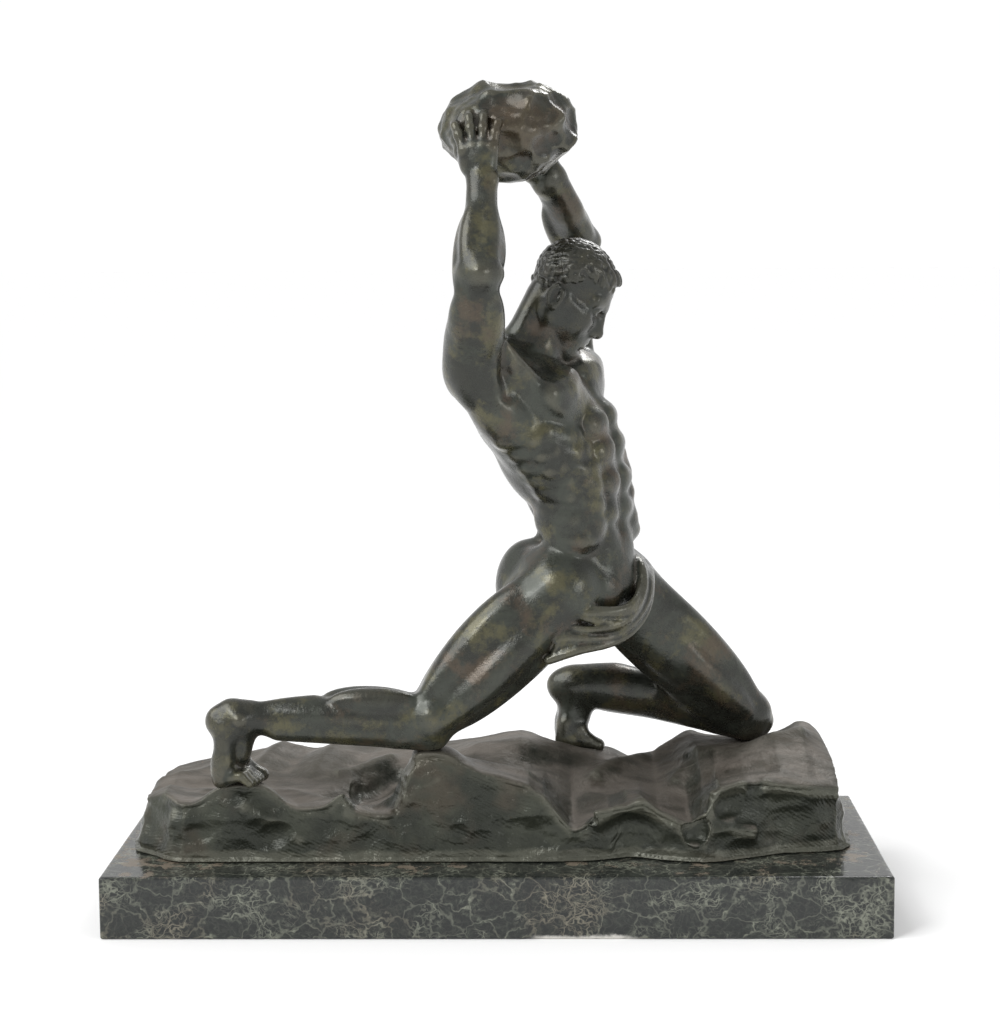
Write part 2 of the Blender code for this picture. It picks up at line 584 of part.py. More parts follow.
def seats_under(figure):
    # x, y, ground height, reach and depth of the seat under each foot and knee: the ground comes up
    # to the lowest point of the man there and a socket's depth past it
    points = np.array([vertex.co for vertex in figure.data.vertices])
    seats = []
    for at, reach, deep in (
        (NEAR["ball"] + vec(-2, 0, 0), 30, 24), (FAR["ball"] + vec(-2, 0, 0), 30, 24),
        (NEAR["knee"] + vec(1, 0, 0), 26, 26), (FAR["knee"] + vec(-4, 0, 0), 36, 30),
    ):
        x, y, reach, deep = at.x * SHARE + FIGURE_SHIFT, at.y * SHARE, reach * SHARE, deep * SHARE
        under = (np.abs(points[:, 0] - x) < 0.6 * reach) & (np.abs(points[:, 1] - y) < 0.6 * deep)
        lowest = points[under, 2].min()
        seats.append((x, y, lowest - PLINTH_HEIGHT - FIT_GAP + SOCKET_DEPTH, reach, deep))
    return seats


def make_ground(mat, figure):
    # a grid over the ground: its middle is the top, its outer rows fall down the flanks to the plinth
    rows, columns = GROUND_DEEP, GROUND_ACROSS
    flank = 4
    a = np.linspace(-1, 1, columns + 1)
    b = np.linspace(-1, 1, rows + 1)
    a = np.concatenate((np.full(flank, -1.0), a, np.full(flank, 1.0)))
    b = np.concatenate((np.full(flank, -1.0), b, np.full(flank, 1.0)))
    down_a = np.concatenate((np.arange(flank, 0, -1), np.zeros(columns + 1), np.arange(1, flank + 1))) / flank
    down_b = np.concatenate((np.arange(flank, 0, -1), np.zeros(rows + 1), np.arange(1, flank + 1))) / flank
    u, v = np.meshgrid(a, b, indexing="ij")
    down = np.maximum(*np.meshgrid(down_a, down_b, indexing="ij"))
    # round the corners of the plan, then let its edge wander
    x = u * np.sqrt(1 - 0.16 * v * v)
    y = v * np.sqrt(1 - 0.20 * u ** 4)
    wander = 1 + 0.018 * np.sin(7.3 * x + 1) * np.abs(v) + 0.014 * np.sin(15.1 * x + 4 * y) * np.abs(v)
    notch = 0.26 * np.exp(-((x - 0.78) / 0.22) ** 2) * (v < 0) + 0.10 * np.exp(-((x - 0.42) / 0.07) ** 2) * (v < 0)
    y = y * (wander - notch * v * v)
    top = ground_height(x, y, seats_under(figure))
    # rounded shoulder at the rim, then a flank that leans out toward the bottom
    rim = np.maximum(np.abs(u), np.abs(v))
    shoulder = np.clip((rim - 0.86) / 0.14, 0, 1) ** 2 * 0.10
    height = top * (1 - shoulder) * (1 - down)
    lean = 0.965 + 0.035 * down ** 0.7
    px = x * lean * GROUND_LENGTH / 2 + GROUND_MIDDLE
    py = y * (lean - 0.02 * (1 - down)) * GROUND_DEPTH / 2
    pz = PLINTH_HEIGHT + FIT_GAP + height
    form = bmesh.new()
    nx, ny = px.shape
    # corners of the flanks fold onto one another, so only the cross-shaped part of the grid is used
    index = {}
    for i in range(nx):
        for j in range(ny):
            side_a, side_b = down_a[i], down_b[j]
            if side_a and side_b and side_a != side_b:
                continue
            key = (i, j)
            index[key] = form.verts.new((px[i, j], py[i, j], pz[i, j]))
    for i in range(nx - 1):
        for j in range(ny - 1):
            corners = [index.get(key) for key in ((i, j), (i + 1, j), (i + 1, j + 1), (i, j + 1))]
            if None not in corners:
                form.faces.new(corners)
    # the flanks' corner columns meet along the diagonal
    bmesh.ops.remove_doubles(form, verts=form.verts, dist=0.00002)
    rim_edges = [edge for edge in form.edges if edge.is_boundary]
    bmesh.ops.holes_fill(form, edges=rim_edges, sides=0)
    bmesh.ops.recalc_face_normals(form, faces=form.faces)
    bmesh.ops.triangulate(form, faces=form.faces)
    mesh = bpy.data.meshes.new("rock_base")
    form.to_mesh(mesh)
    form.free()
    piece = add_object("rock_base", mesh, mat)
    mesh.shade_smooth()
    # sockets for the feet and knees: the figure, grown by the fit gap, is cut away
    cutter = bpy.data.objects.new("socket_cutter", figure.data.copy())
    bpy.context.collection.objects.link(cutter)
    grow = cutter.modifiers.new("grow", "DISPLACE")
    grow.mid_level = 0
    grow.strength = FIT_GAP
    cutter.hide_render = True
    cutter.display_type = "WIRE"
    cut = piece.modifiers.new("sockets", "BOOLEAN")
    cut.operation = "DIFFERENCE"
    cut.object = cutter
    return piece


def make_plinth(mat):
    bpy.ops.mesh.primitive_cube_add(size=1, location=(0, 0, PLINTH_HEIGHT / 2))
    piece = bpy.context.object
    piece.name = "plinth"
    piece.data.name = "plinth"
    piece.data.transform(Matrix.Diagonal((PLINTH_LENGTH, PLINTH_DEPTH, PLINTH_HEIGHT, 1)))
    edge = piece.modifiers.new("edge", "BEVEL")
    edge.width = PLINTH_EDGE
    edge.segments = 2
    piece.data.materials.append(mat)
    return piece


def main():
    for old in list(bpy.data.objects):
        bpy.data.objects.remove(old)
    bronze = material("bronze", (0.045, 0.047, 0.035), 0.35, 0.9)
    earth_bronze = material("earth_bronze", (0.07, 0.06, 0.048), 0.5, 0.75)
    marble = material("green_marble", (0.012, 0.02, 0.016), 0.2, 0.0)
    make_plinth(marble)
    figure = make_figure(bronze)
    make_ground(earth_bronze, figure)


main()
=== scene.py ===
# A bronze man on one knee lifts a boulder over his head, on rocky ground and a slab of green marble.
# The sculpture is worked out in millimetres and written to the meshes in metres.
# +X is the way he faces, -Y the side that the camera sees, +Z up; the marble stands on z = 0.
import math
import time

import bpy
import numpy as np
from mathutils import Matrix, Vector


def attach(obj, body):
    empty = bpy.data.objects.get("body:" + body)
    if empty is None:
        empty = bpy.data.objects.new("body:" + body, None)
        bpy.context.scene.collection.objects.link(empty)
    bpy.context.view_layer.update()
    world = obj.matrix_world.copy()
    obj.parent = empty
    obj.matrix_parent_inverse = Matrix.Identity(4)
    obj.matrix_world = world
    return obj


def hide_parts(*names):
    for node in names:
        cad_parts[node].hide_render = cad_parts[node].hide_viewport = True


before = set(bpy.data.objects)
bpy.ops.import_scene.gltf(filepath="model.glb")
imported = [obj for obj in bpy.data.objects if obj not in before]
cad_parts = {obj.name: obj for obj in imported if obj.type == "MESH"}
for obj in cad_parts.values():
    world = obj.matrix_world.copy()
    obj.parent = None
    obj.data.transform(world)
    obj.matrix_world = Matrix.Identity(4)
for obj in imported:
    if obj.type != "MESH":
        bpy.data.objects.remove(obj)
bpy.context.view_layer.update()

startTime = time.time()


def stage(words):
    print(f"{words} after {time.time() - startTime:.1f} s", flush=True)


def unit(v):
    v = np.asarray(v, float)
    return v / np.linalg.norm(v)


def vec(x, y, z):
    return np.array((x, y, z), float)


# distance in millimetres that stands for empty space in a block of clay
farAway = 50.0


class Bone:
    # a limb's line from start to end with its own directions: along it, to its front, and to its outer
    # side, which is the one nearer to outward
    def __init__(self, start, end, front, outward):
        self.start, self.length = start, np.linalg.norm(end - start)
        self.along = unit(end - start)
        self.front = unit(front - front @ self.along * self.along)
        self.outer = np.cross(self.along, self.front)
        if self.outer @ outward < 0:
            self.outer = -self.outer

    # along is a share of the length, front and outer are millimetres
    def at(self, along, front=0.0, outer=0.0):
        return self.start + self.along * along * self.length + self.front * front + self.outer * outer


class Clay:
    # a block of space that holds, at each grid point, the distance to the skin: negative inside
    def __init__(self, axes):
        self.axes = axes
        self.field = np.full([len(a) for a in axes], farAway, np.float32)

    def window(self, low, high):
        spans = []
        for axis, a, b in zip(self.axes, low, high):
            i, j = np.searchsorted(axis, [a, b])
            spans.append(slice(max(i - 1, 0), min(j + 1, len(axis))))
        return tuple(spans)

    def offsets(self, window, centre):
        x, y, z = (axis[w] - c for axis, w, c in zip(self.axes, window, centre))
        x, y, z = x.astype(np.float32), y.astype(np.float32), z.astype(np.float32)
        return x[:, None, None], y[None, :, None], z[None, None, :]

    # round cone of elliptic section from a to b: each radius is (wide, thick), and thick lies along facing
    def limb(self, a, b, radiusA, radiusB, facing=None, melt=3.0, cut=False):
        a, b = np.asarray(a, float), np.asarray(b, float)
        (wa, ta), (wb, tb) = (np.broadcast_to(r, 2) for r in (radiusA, radiusB))
        span = b - a
        length = float(np.linalg.norm(span))
        e1 = span / length
        if facing is None:
            facing = np.cross(e1, (0.31, 0.53, 0.79))
        facing = np.asarray(facing, float)
        e3 = unit(facing - facing @ e1 * e1)
        e2 = np.cross(e3, e1)
        big = max(wa, ta, wb, tb) + melt + 3.0
        window = self.window(np.minimum(a, b) - big, np.maximum(a, b) + big)
        x, y, z = self.offsets(window, a)
        f1 = x * e1[0] + y * e1[1] + z * e1[2]
        f2 = x * e2[0] + y * e2[1] + z * e2[2]
        f3 = x * e3[0] + y * e3[1] + z * e3[2]
        t = np.clip(f1 / length, 0, 1)
        w = wa + (wb - wa) * t
        k = ta + (tb - ta) * t
        self.stir(window, nearDistance(f1 - t * length, f2, f3, (w + k) / 2, w, k), melt, cut)

    # round rope through points, each with its own radius: the nearest of its stretches counts
    def rope(self, points, radii, melt=1.5):
        big = float(np.max(radii)) + melt + 3.0
        whole = self.window(points.min(0) - big, points.max(0) + big)
        nearest = np.full(self.field[whole].shape, farAway, np.float32)
        for a, b, ra, rb in zip(points[:-1], points[1:], radii[:-1], radii[1:]):
            window = self.window(np.minimum(a, b) - big, np.maximum(a, b) + big)
            x, y, z = self.offsets(window, a)
            span = b - a
            t = np.clip((x * span[0] + y * span[1] + z * span[2]) / (span @ span), 0, 1)
            away = np.sqrt((x - t * span[0]) ** 2 + (y - t * span[1]) ** 2 + (z - t * span[2]) ** 2)
            local = tuple(slice(w.start - o.start, w.stop - o.start) for w, o in zip(window, whole))
            nearest[local] = np.minimum(nearest[local], away - (ra + (rb - ra) * t))
        self.stir(whole, nearest, melt)

    # spindle from a to b, as wide and thick as given at its middle
    def muscle(self, a, b, wide, thick, facing, melt=2.5, grow=1.0):
        a, b = np.asarray(a, float), np.asarray(b, float)
        centre, half = (a + b) / 2, np.linalg.norm(b - a) / 2 * grow
        e1 = unit(b - a)
        facing = np.asarray(facing, float)
        e3 = unit(facing - facing @ e1 * e1)
        self.lump(centre, (half, wide, thick), (e1, np.cross(e3, e1), e3), melt)

    # ellipsoid with radii along the three axes
    def lump(self, centre, radii, axes=None, melt=3.0, cut=False):
        e = np.eye(3) if axes is None else np.asarray(axes)
        reach = np.sqrt(((e * np.asarray(radii)[:, None]) ** 2).sum(0)) + melt + 3.0
        window = self.window(centre - reach, centre + reach)
        x, y, z = self.offsets(window, centre)
        f = [x * d[0] + y * d[1] + z * d[2] for d in e]
        self.stir(window, nearDistance(*f, *radii), melt, cut)

    # average the field twice over a run of 2 * reach along each axis, which rounds ridges and fills
    # creases: the mean is the difference of the running integral at both ends of the run
    def soften(self, reach):
        for axis in range(3):
            at = self.axes[axis]
            ends = [np.clip(at + way * reach, at[0], at[-1]) for way in (-1, 1)]
            places = [np.clip(np.searchsorted(at, end) - 1, 0, len(at) - 2) for end in ends]
            steps = np.diff(at)[:, None, None]
            for _ in range(2):
                moved = np.moveaxis(self.field, axis, 0)
                total = np.zeros(moved.shape)
                total[1:] = np.cumsum((moved[1:] + moved[:-1]) * 0.5 * steps, axis=0, dtype=np.float64)
                sums = []
                for end, i in zip(ends, places):
                    past = (end - at[i])[:, None, None]
                    slope = (moved[i + 1] - moved[i]) / steps[i]
                    sums.append(total[i] + moved[i] * past + slope * past * past / 2)
                moved[:] = ((sums[1] - sums[0]) / (ends[1] - ends[0])[:, None, None]).astype(np.float32)

    # smooth union with, or cut by, a new distance: the two blend over the width melt
    def stir(self, window, distance, melt, cut=False):
        old = self.field[window]
        if cut:
            h = np.clip(0.5 - 0.5 * (old + distance) / melt, 0, 1)
            self.field[window] = old + (-distance - old) * h + melt * h * (1 - h)
        else:
            h = np.clip(0.5 + 0.5 * (old - distance) / melt, 0, 1)
            self.field[window] = old + (distance - old) * h - melt * h * (1 - h)


# nearly the distance to an ellipsoid: k0 (k0 - 1) / k1, k0 the scaled radius and k1 its slope
def nearDistance(x, y, z, a, b, c):
    xx, yy, zz = x / a, y / b, z / c
    k0 = np.sqrt(xx * xx + yy * yy + zz * zz)
    k1 = np.sqrt((xx / a) ** 2 + (yy / b) ** 2 + (zz / c) ** 2)
    return k0 * (k0 - 1) / np.maximum(k1, 1e-4)


# one point in each grid cell that the skin crosses, at the mean of the crossings on its edges,
# and one four-sided face round each grid edge that the skin crosses
def skinOf(field, axes):
    inside = field < 0
    n = np.array(field.shape)
    cells = n - 1
    count = np.zeros(cells, np.int8)
    for i in (0, 1):
        for j in (0, 1):
            for k in (0, 1):
                count += inside[i:n[0] - 1 + i, j:n[1] - 1 + j, k:n[2] - 1 + k]
    mixed = (count > 0) & (count < 8)
    cell = np.argwhere(mixed)
    number = np.full(cells, -1, np.int32)
    number[mixed] = np.arange(len(cell))
    total = np.zeros((len(cell), 3))
    hits = np.zeros(len(cell))
    for axis in range(3):
        others = [x for x in range(3) if x != axis]
        for p in (0, 1):
            for q in (0, 1):
                start = cell.copy()
                start[:, others[0]] += p
                start[:, others[1]] += q
                end = start.copy()
                end[:, axis] += 1
                fa = field[tuple(start.T)]
                fb = field[tuple(end.T)]
                crossed = (fa < 0) != (fb < 0)
                t = np.where(crossed, fa / np.where(crossed, fa - fb, 1), 0)
                where = np.stack([axes[d][start[:, d]] for d in range(3)], 1)
                where[:, axis] += t * (axes[axis][end[:, axis]] - axes[axis][start[:, axis]])
                total += where * crossed[:, None]
                hits += crossed
    points = total / hits[:, None]
    faces = []
    for axis in range(3):
        o1, o2 = [(1, 2), (2, 0), (0, 1)][axis]
        sa = [slice(1, -1)] * 3
        sb = [slice(1, -1)] * 3
        sa[axis] = slice(0, -1)
        sb[axis] = slice(1, None)
        a, b = inside[tuple(sa)], inside[tuple(sb)]
        edge = np.argwhere(a != b)
        flip = a[tuple(edge.T)]
        edge[:, o1] += 1
        edge[:, o2] += 1
        quad = []
        for d1, d2 in ((-1, -1), (0, -1), (0, 0), (-1, 0)):
            c = edge.copy()
            c[:, o1] += d1
            c[:, o2] += d2
            quad.append(number[tuple(c.T)])
        quad = np.stack(quad, 1)
        quad[~flip] = quad[~flip][:, ::-1]
        faces.append(quad)
    return points, np.concatenate(faces)


# joints in millimetres: x to the right of the picture, y away from the viewer, z up
nearLimbs = dict(hip=vec(38.4, -28, 208), knee=vec(-43, -50, 129.4), ankle=vec(-164, -60, 132),
                 ball=vec(-167.5, -60, 92.6), shoulder=vec(-12.9, -52, 356.8), elbow=vec(-7.3, -90, 416.6),
                 wrist=vec(-6.4, -56, 474.8), side=1.0)
farLimbs = dict(hip=vec(80.6, 22, 200.3), knee=vec(171.7, 48, 111.3), ankle=vec(57.2, 62, 129.1),
                ball=vec(53.9, 64, 90.2), shoulder=vec(45.1, 50, 364.9), elbow=vec(57.5, 78, 436),
                wrist=vec(33.0, 37, 476.5), side=-1.0)

# the trunk's centre line: height above the pelvis, x, y, z, turn toward the viewer in degrees
spine = np.array([
    [-30, 61.0, -3, 178.0, 41],
    [0, 61.2, -2, 208.4, 39],
    [44, 58.7, 0, 252.0, 29],
    [78, 54.0, 0, 284.0, 23],
    [112, 40.0, 0, 315.0, 21],
    [160, 19.5, -1, 361.0, 24],
    [180, 12.0, -1, 380.0, 25],
])


def onSpine(height):
    return vec(*(np.interp(height, spine[:, 0], spine[:, k]) for k in (1, 2, 3)))


# a place on the trunk and its directions (outward, up, to the front) from the height on the spine and
# the steps outward and to the front; outward is the viewer's side for side 1
def trunkPlace(height, outward, front, side=1.0):
    centre = onSpine(height)
    up = unit(onSpine(height + 14) - onSpine(height - 14))
    turn = np.radians(np.interp(height, spine[:, 0], spine[:, 4]))
    left = vec(np.sin(turn), np.cos(turn), 0.04)
    left = unit(left - left @ up * up)
    fore = np.cross(left, up)
    return centre - left * outward * side + fore * front, (-left * side, up, fore)


def onTrunk(height, outward, front, side=1.0):
    return trunkPlace(height, outward, front, side)[0]


# ellipsoid on the trunk: radii outward, up and to the front, the outward one tipped up by tip degrees
def trunkLump(clay, height, outward, front, radii, side=1.0, melt=4.0, cut=False, tip=0.0):
    centre, (out, up, fore) = trunkPlace(height, outward, front, side)
    if tip:
        a = np.radians(tip)
        out, up = out * np.cos(a) + up * np.sin(a), up * np.cos(a) - out * np.sin(a)
    clay.lump(centre, radii, (out, up, fore), melt, cut)


# spindle between two places on the trunk, its flat side facing outward from the trunk's middle
def trunkMuscle(clay, a, b, wide, thick, side=1.0, melt=3.0):
    middle = (np.array(a) + np.array(b)) / 2
    out, _, fore = trunkPlace(*middle, side)[1]
    face = out * middle[1] * 0.8 + fore * middle[2]
    clay.muscle(onTrunk(*a, side), onTrunk(*b, side), wide, thick, face, melt)


# the trunk's main forms, each an ellipsoid: height, step to the front, radii and melt
trunkForms = (
    (96, -1, (44, 42, 32.5), 8), (124, -3, (43, 35, 31), 8), (106, 8, (27, 22, 26.5), 9),  # rib cage
    (74, 2, (35, 30, 26), 9), (56, 1, (31, 36, 23.5), 10),  # belly
    (24, -1, (36, 28, 23.5), 10), (16, 11, (25, 23, 20), 9),  # belly over the hips
    (1, 9, (23, 21, 17), 8), (-6, -3, (44, 28, 27), 10),  # pelvis
)


def body(clay):
    for h, f, radii, melt in trunkForms:
        trunkLump(clay, h, 0, f, radii, melt=melt)
    for limbs in (nearLimbs, farLimbs):
        side, shoulder = limbs["side"], limbs["shoulder"]
        # chest: three strands gather toward the raised arm
        for h, o, f, wide, thick in ((150, 7, 15, 12, 7), (140, 8, 23, 13, 8), (129, 12, 26, 11.5, 8.5)):
            start, (out, _, fore) = trunkPlace(h, o, f, side)
            end = shoulder * 0.62 + onTrunk(132, 40, 18, side) * 0.38 + vec(0, 0, (h - 132) * 0.25)
            clay.muscle(start, end, wide, thick, fore + out * 0.35, melt=7, grow=1.08)
        trunkLump(clay, 130, 23, 23.5, (27, 17, 9), side, melt=9, tip=12)
        # broad back muscle from the loin to the armpit
        trunkMuscle(clay, (62, 24, -17 if side > 0 else -12), (136, 47, -8), 22, 11, side, melt=13)
        trunkMuscle(clay, (96, 37, -7), (146, 50, -4), 17, 12, side, melt=11)
        trunkLump(clay, 138, 57, -7, (13, 17, 13), side, melt=11)
        trunkLump(clay, 104, 34, 2, (13, 30, 18), side, melt=12)
        # shoulder blade and its muscles, swung out under the raised arm
        trunkLump(clay, 132, 29, -26, (19, 22, 10), side, melt=6, tip=-24)
        trunkMuscle(clay, (112, 24, -28), (142, 50, -20), 9, 8, side, melt=4)
        trunkMuscle(clay, (140, 10, -27), (158, 42, -20), 9, 8, side, melt=5)
        # cowl muscle from the nape to the shoulder and down the back
        outward = trunkPlace(150, 0, 0, side)[1][0]
        for start, rise, inward, first, last in (
                ((172, 8, -6), 9, 6, (12, 8), (11, 8)), ((156, 12, -14), 0, 8, (14, 11), (12, 11)),
                ((140, 14, -20), -14, 10, (13, 9), (11, 9)), ((164, 10, 6), 4, 8, (10, 8), (10, 8))):
            end = shoulder + vec(0, 0, rise) - outward * inward
            clay.limb(onTrunk(*start, side), end, first, last, (0, 0, 1), melt=7)
        trunkMuscle(clay, (84, 6, -31), (158, 13, -24), 11, 7, side, melt=6)
        # loin strands beside the spine
        trunkMuscle(clay, (-6, 9, -22), (60, 9, -22), 10, 8, side, melt=5)
        trunkMuscle(clay, (40, 9, -21), (100, 11, -28), 10, 8, side, melt=5)
        # belly: pads each side, low and close together
        for h, o, f, high, wide in ((106, 11, 30.5, 11, 12), (88, 10, 28, 10.5, 11), (69, 10, 25.5, 10, 11),
                                    (51, 10, 23.5, 9.5, 11), (27, 8.5, 22, 17, 11)):
            trunkLump(clay, h, o, f, (wide, high, 6.2), side, melt=3.5)
        # side of the belly and its roll over the hip bone
        trunkMuscle(clay, (30, 27, 12), (82, 32, 13), 15, 9, side, melt=7)
        trunkMuscle(clay, (32, 32, -4), (70, 31, -6), 15, 9, side, melt=7)
        trunkLump(clay, 35, 30, 7, (11, 10, 17), side, melt=6)
        trunkLump(clay, 39, 21, 16.5, (9, 9, 7.5), side, melt=6)
        # saw-tooth strands on the ribs
        for k in range(5):
            h = 116 - 11 * k
            start, end = (h + 8, 46 - k * 1.4, 2 + k * 0.5), (h - 6, 34 - k * 2.2, 21 + k * 0.3)
            trunkMuscle(clay, start, end, 6.2, 5, side, melt=4)
        # rib arch
        clay.limb(onTrunk(104, 8, 30, side), onTrunk(74, 28, 20, side), (5, 4), (5, 4), melt=6)
        # collar bone
        clay.limb(onTrunk(158, 5, 20, side), shoulder + vec(0, 0, 8), 3.6, 3.6, melt=4)
        # hip bone crest
        clay.limb(onTrunk(8, 34, 17, side), onTrunk(22, 37, -2, side), 5, 6, melt=6)
        # groin beside the cloth
        trunkLump(clay, -2, 9, 20, (13, 15, 13), side, melt=9)
        # buttock
        trunkLump(clay, 1, 22, -32, (24, 32, 23), side, melt=7)
        trunkLump(clay, 6, 33, -14, (14, 24, 21), side, melt=7)
    # middle grooves down the chest, the belly and the spine: height and step to the front at both ends, radii
    for high, fore, low, foreLow, first, last in (
            (154, 26, 116, 36.5, 1.6, 2.0), (108, 38, 70, 32.5, 1.3, 1.3), (70, 32.5, 38, 29.5, 1.3, 1.3),
            (20, -29, 70, -30, 2.0, 2.0), (70, -30, 140, -36, 2.0, 2.5)):
        clay.limb(onTrunk(high, 0, fore), onTrunk(low, 0, foreLow), first, last, melt=5, cut=True)
    # creases between the belly's pads
    for h in (97, 78.5, 60, 42.5):
        f = 28.5 + (h - 42) * 0.13
        for side in (1.0, -1.0):
            clay.limb(onTrunk(h, 2, f + 2, side), onTrunk(h + 1.5, 18, f, side), 0.9, 0.9, melt=3, cut=True)
    # cleft behind
    clay.limb(onTrunk(-34, 0, -48), onTrunk(12, 0, -40), 3.0, 1.6, melt=5, cut=True)


# the point on the skin reached from a given one along a way that leads outward
def onSkin(clay, point, way):
    for _ in range(5):
        point = point - way * sampleField(clay, point[None])[0]
    return point


# low ridge over the trunk's skin through places given as (height, outward, front), lift above the skin
def trunkRidge(clay, places, radius, lift, side, melt=4.0):
    points = []
    for h, o, f in places:
        point, (out, _, fore) = trunkPlace(h, o, f, side)
        way = unit(out * o / 1600 + fore * f / 900)
        points.append(onSkin(clay, point, way) - way * (radius - lift))
    sizes = np.full(len(points), radius)
    sizes[0] = sizes[-1] = radius - lift * 0.7
    clay.rope(np.array(points), sizes, melt)


# low forms that the softening would lose: ribs on the side of the chest, the saw-tooth strands that
# grip them, and the pads of the belly
def ribs(clay):
    for side in (1.0, -1.0):
        for k in range(5):
            h = 113 - 11.5 * k
            places = [(h + 9, 44 - 1.5 * k, -8), (h + 1, 40 - 1.8 * k, 8), (h - 8, 30 - 1.5 * k, 21)]
            trunkRidge(clay, places, 5.5, 1.6, side, 5)
        for k in range(3):
            h = 111 - 11.5 * k
            trunkRidge(clay, [(h + 3, 42 - 2 * k, 2), (h - 6, 33 - 2 * k, 14)], 4.5, 1.1, side, 4)
        for h, o in ((104, 12), (87, 12), (69, 12)):
            trunkRidge(clay, [(h + 2, o - 4, 28), (h + 1, o + 5, 26)], 6.5, 0.9, side, 4)
        trunkRidge(clay, [(60, 33, -6), (50, 32, 10), (44, 25, 19)], 7, 1.0, side, 6)
        trunkRidge(clay, [(138, 12, 26), (134, 24, 24), (136, 36, 18)], 7, 1.1, side, 6)
    # the crease between the raised arm and the chest
    toViewer = vec(0, -1, 0)
    places = (vec(7.6, -58, 370.5), vec(7.2, -58, 352.9), vec(9.5, -52, 339))
    crease = [onSkin(clay, place, toViewer) for place in places]
    for a, b in zip(crease[:-1], crease[1:]):
        clay.limb(a - vec(0, 0.6, 0), b - vec(0, 1.4, 0), 1.5, 1.5, melt=6, cut=True)


# spindles along a bone: each is its place at both ends, as Bone.at takes it, then wide and thick
def muscles(clay, bone, strands, melt, grow):
    for a0, f0, o0, a1, f1, o1, wide, thick in strands:
        facing = bone.front * (f0 + f1) + bone.outer * (o0 + o1)
        clay.muscle(bone.at(a0, f0, o0), bone.at(a1, f1, o1), wide, thick, facing, melt=melt, grow=grow)


def leg(clay, limbs):
    hip, knee, ankle = limbs["hip"], limbs["knee"], limbs["ankle"]
    # outer points away from his middle: to the viewer on the near side
    outward = vec(0, -limbs["side"], 0)
    thigh = Bone(hip, knee, knee - ankle, outward)
    shin = Bone(knee, ankle, knee - hip, outward)
    t, s = thigh.at, shin.at
    deep = thigh.along @ shin.along < 0
    clay.limb(t(-0.02, 2), t(1.0), (27, 29), (15, 16), thigh.front, melt=8)
    muscles(clay, thigh, (
        (-0.02, 20.5, 3, 0.94, 14, 0, 12.5, 12),  # straight front muscle
        (0.02, 9, 15, 0.97, 7, 10, 13, 13),  # outer front muscle
        (0.30, 11, -12, 1.02, 6, -10, 11.5, 12),  # inner front muscle
        (-0.05, 0, -14, 0.72, -4, -11, 15, 13),  # inner thigh
        (-0.02, -18, 7, 1.0, -11, 9, 11, 11),  # outer back muscle
        (-0.02, -19, -7, 1.0, -11, -9, 11, 11),  # inner back muscle
        (0.72, 12, 0, 1.04, 14, 0, 7, 4.5),  # tendon above the kneecap
    ), 3.5, 1.03)
    clay.limb(t(-0.1, 8, -4), t(0.7, 3, -15), (3.5, 3), (3.5, 3), thigh.front, melt=4)
    # joint of the knee
    cap = unit(thigh.front * (0.45 if deep else 0.8) + thigh.along * 0.75 + shin.front * 0.5)
    for way in (1, -1):
        clay.lump(knee + thigh.outer * 8.5 * way - shin.along, (12, 11.5, 12.5), melt=5)
    across = unit(np.cross(cap, thigh.outer))
    clay.lump(knee + cap * 13.3, (9.5, 10.5, 5.5), (thigh.outer, across, cap), melt=3)
    clay.limb(knee + cap * 13, s(0.17, 12.5, 0), (4.2, 3.4), (3.6, 3.2), shin.front, melt=3)
    clay.lump(s(0.17, 11.5, 0), (4.5, 5, 4), melt=3)
    # shin
    clay.limb(s(0.0), s(1.0), (13.5, 14), (8.4, 9), shin.front, melt=6)
    clay.limb(s(0.0, 8.5), s(0.8, 6.5), (11, 11.5), (7, 7.5), shin.front, melt=6)
    muscles(clay, shin, (
        (0.03, -9, -7, 0.58, -12, -5, 10, 11.5),  # inner calf
        (0.03, -9, 7, 0.54, -11, 6, 9.5, 11),  # outer calf
        (0.25, -4, 4, 0.86, -6, 2, 9.5, 8),  # deep calf
        (0.25, -4, -4, 0.86, -6, -2, 9.5, 8),
        (0.06, 7, 5.5, 0.80, 6, 3, 6.5, 7),  # front shin muscle
        (0.06, 1, 10, 0.78, -1, 6.5, 6, 6),  # outer shin muscle
    ), 3, 1.02)
    clay.limb(s(0.10, 9.5, -3.5), s(0.95, 6.5, -3), (4, 4), (3.4, 3.4), shin.front, melt=3.5)
    if deep:
        # the folded calf is pressed upward by the thigh
        clay.muscle(vec(34, 62, 131), vec(128, 54, 126), 15, 15.5, (0, 0, 1), melt=9)
        clay.limb(vec(47, 62, 131), vec(80, 60, 131.5), 9, 12, melt=8)
    else:
        # full back of the thigh below the buttock
        clay.muscle(vec(16, -42, 212), vec(-47, -44, 138), 14.5, 14, (-0.7, 0, 0.7), melt=9)


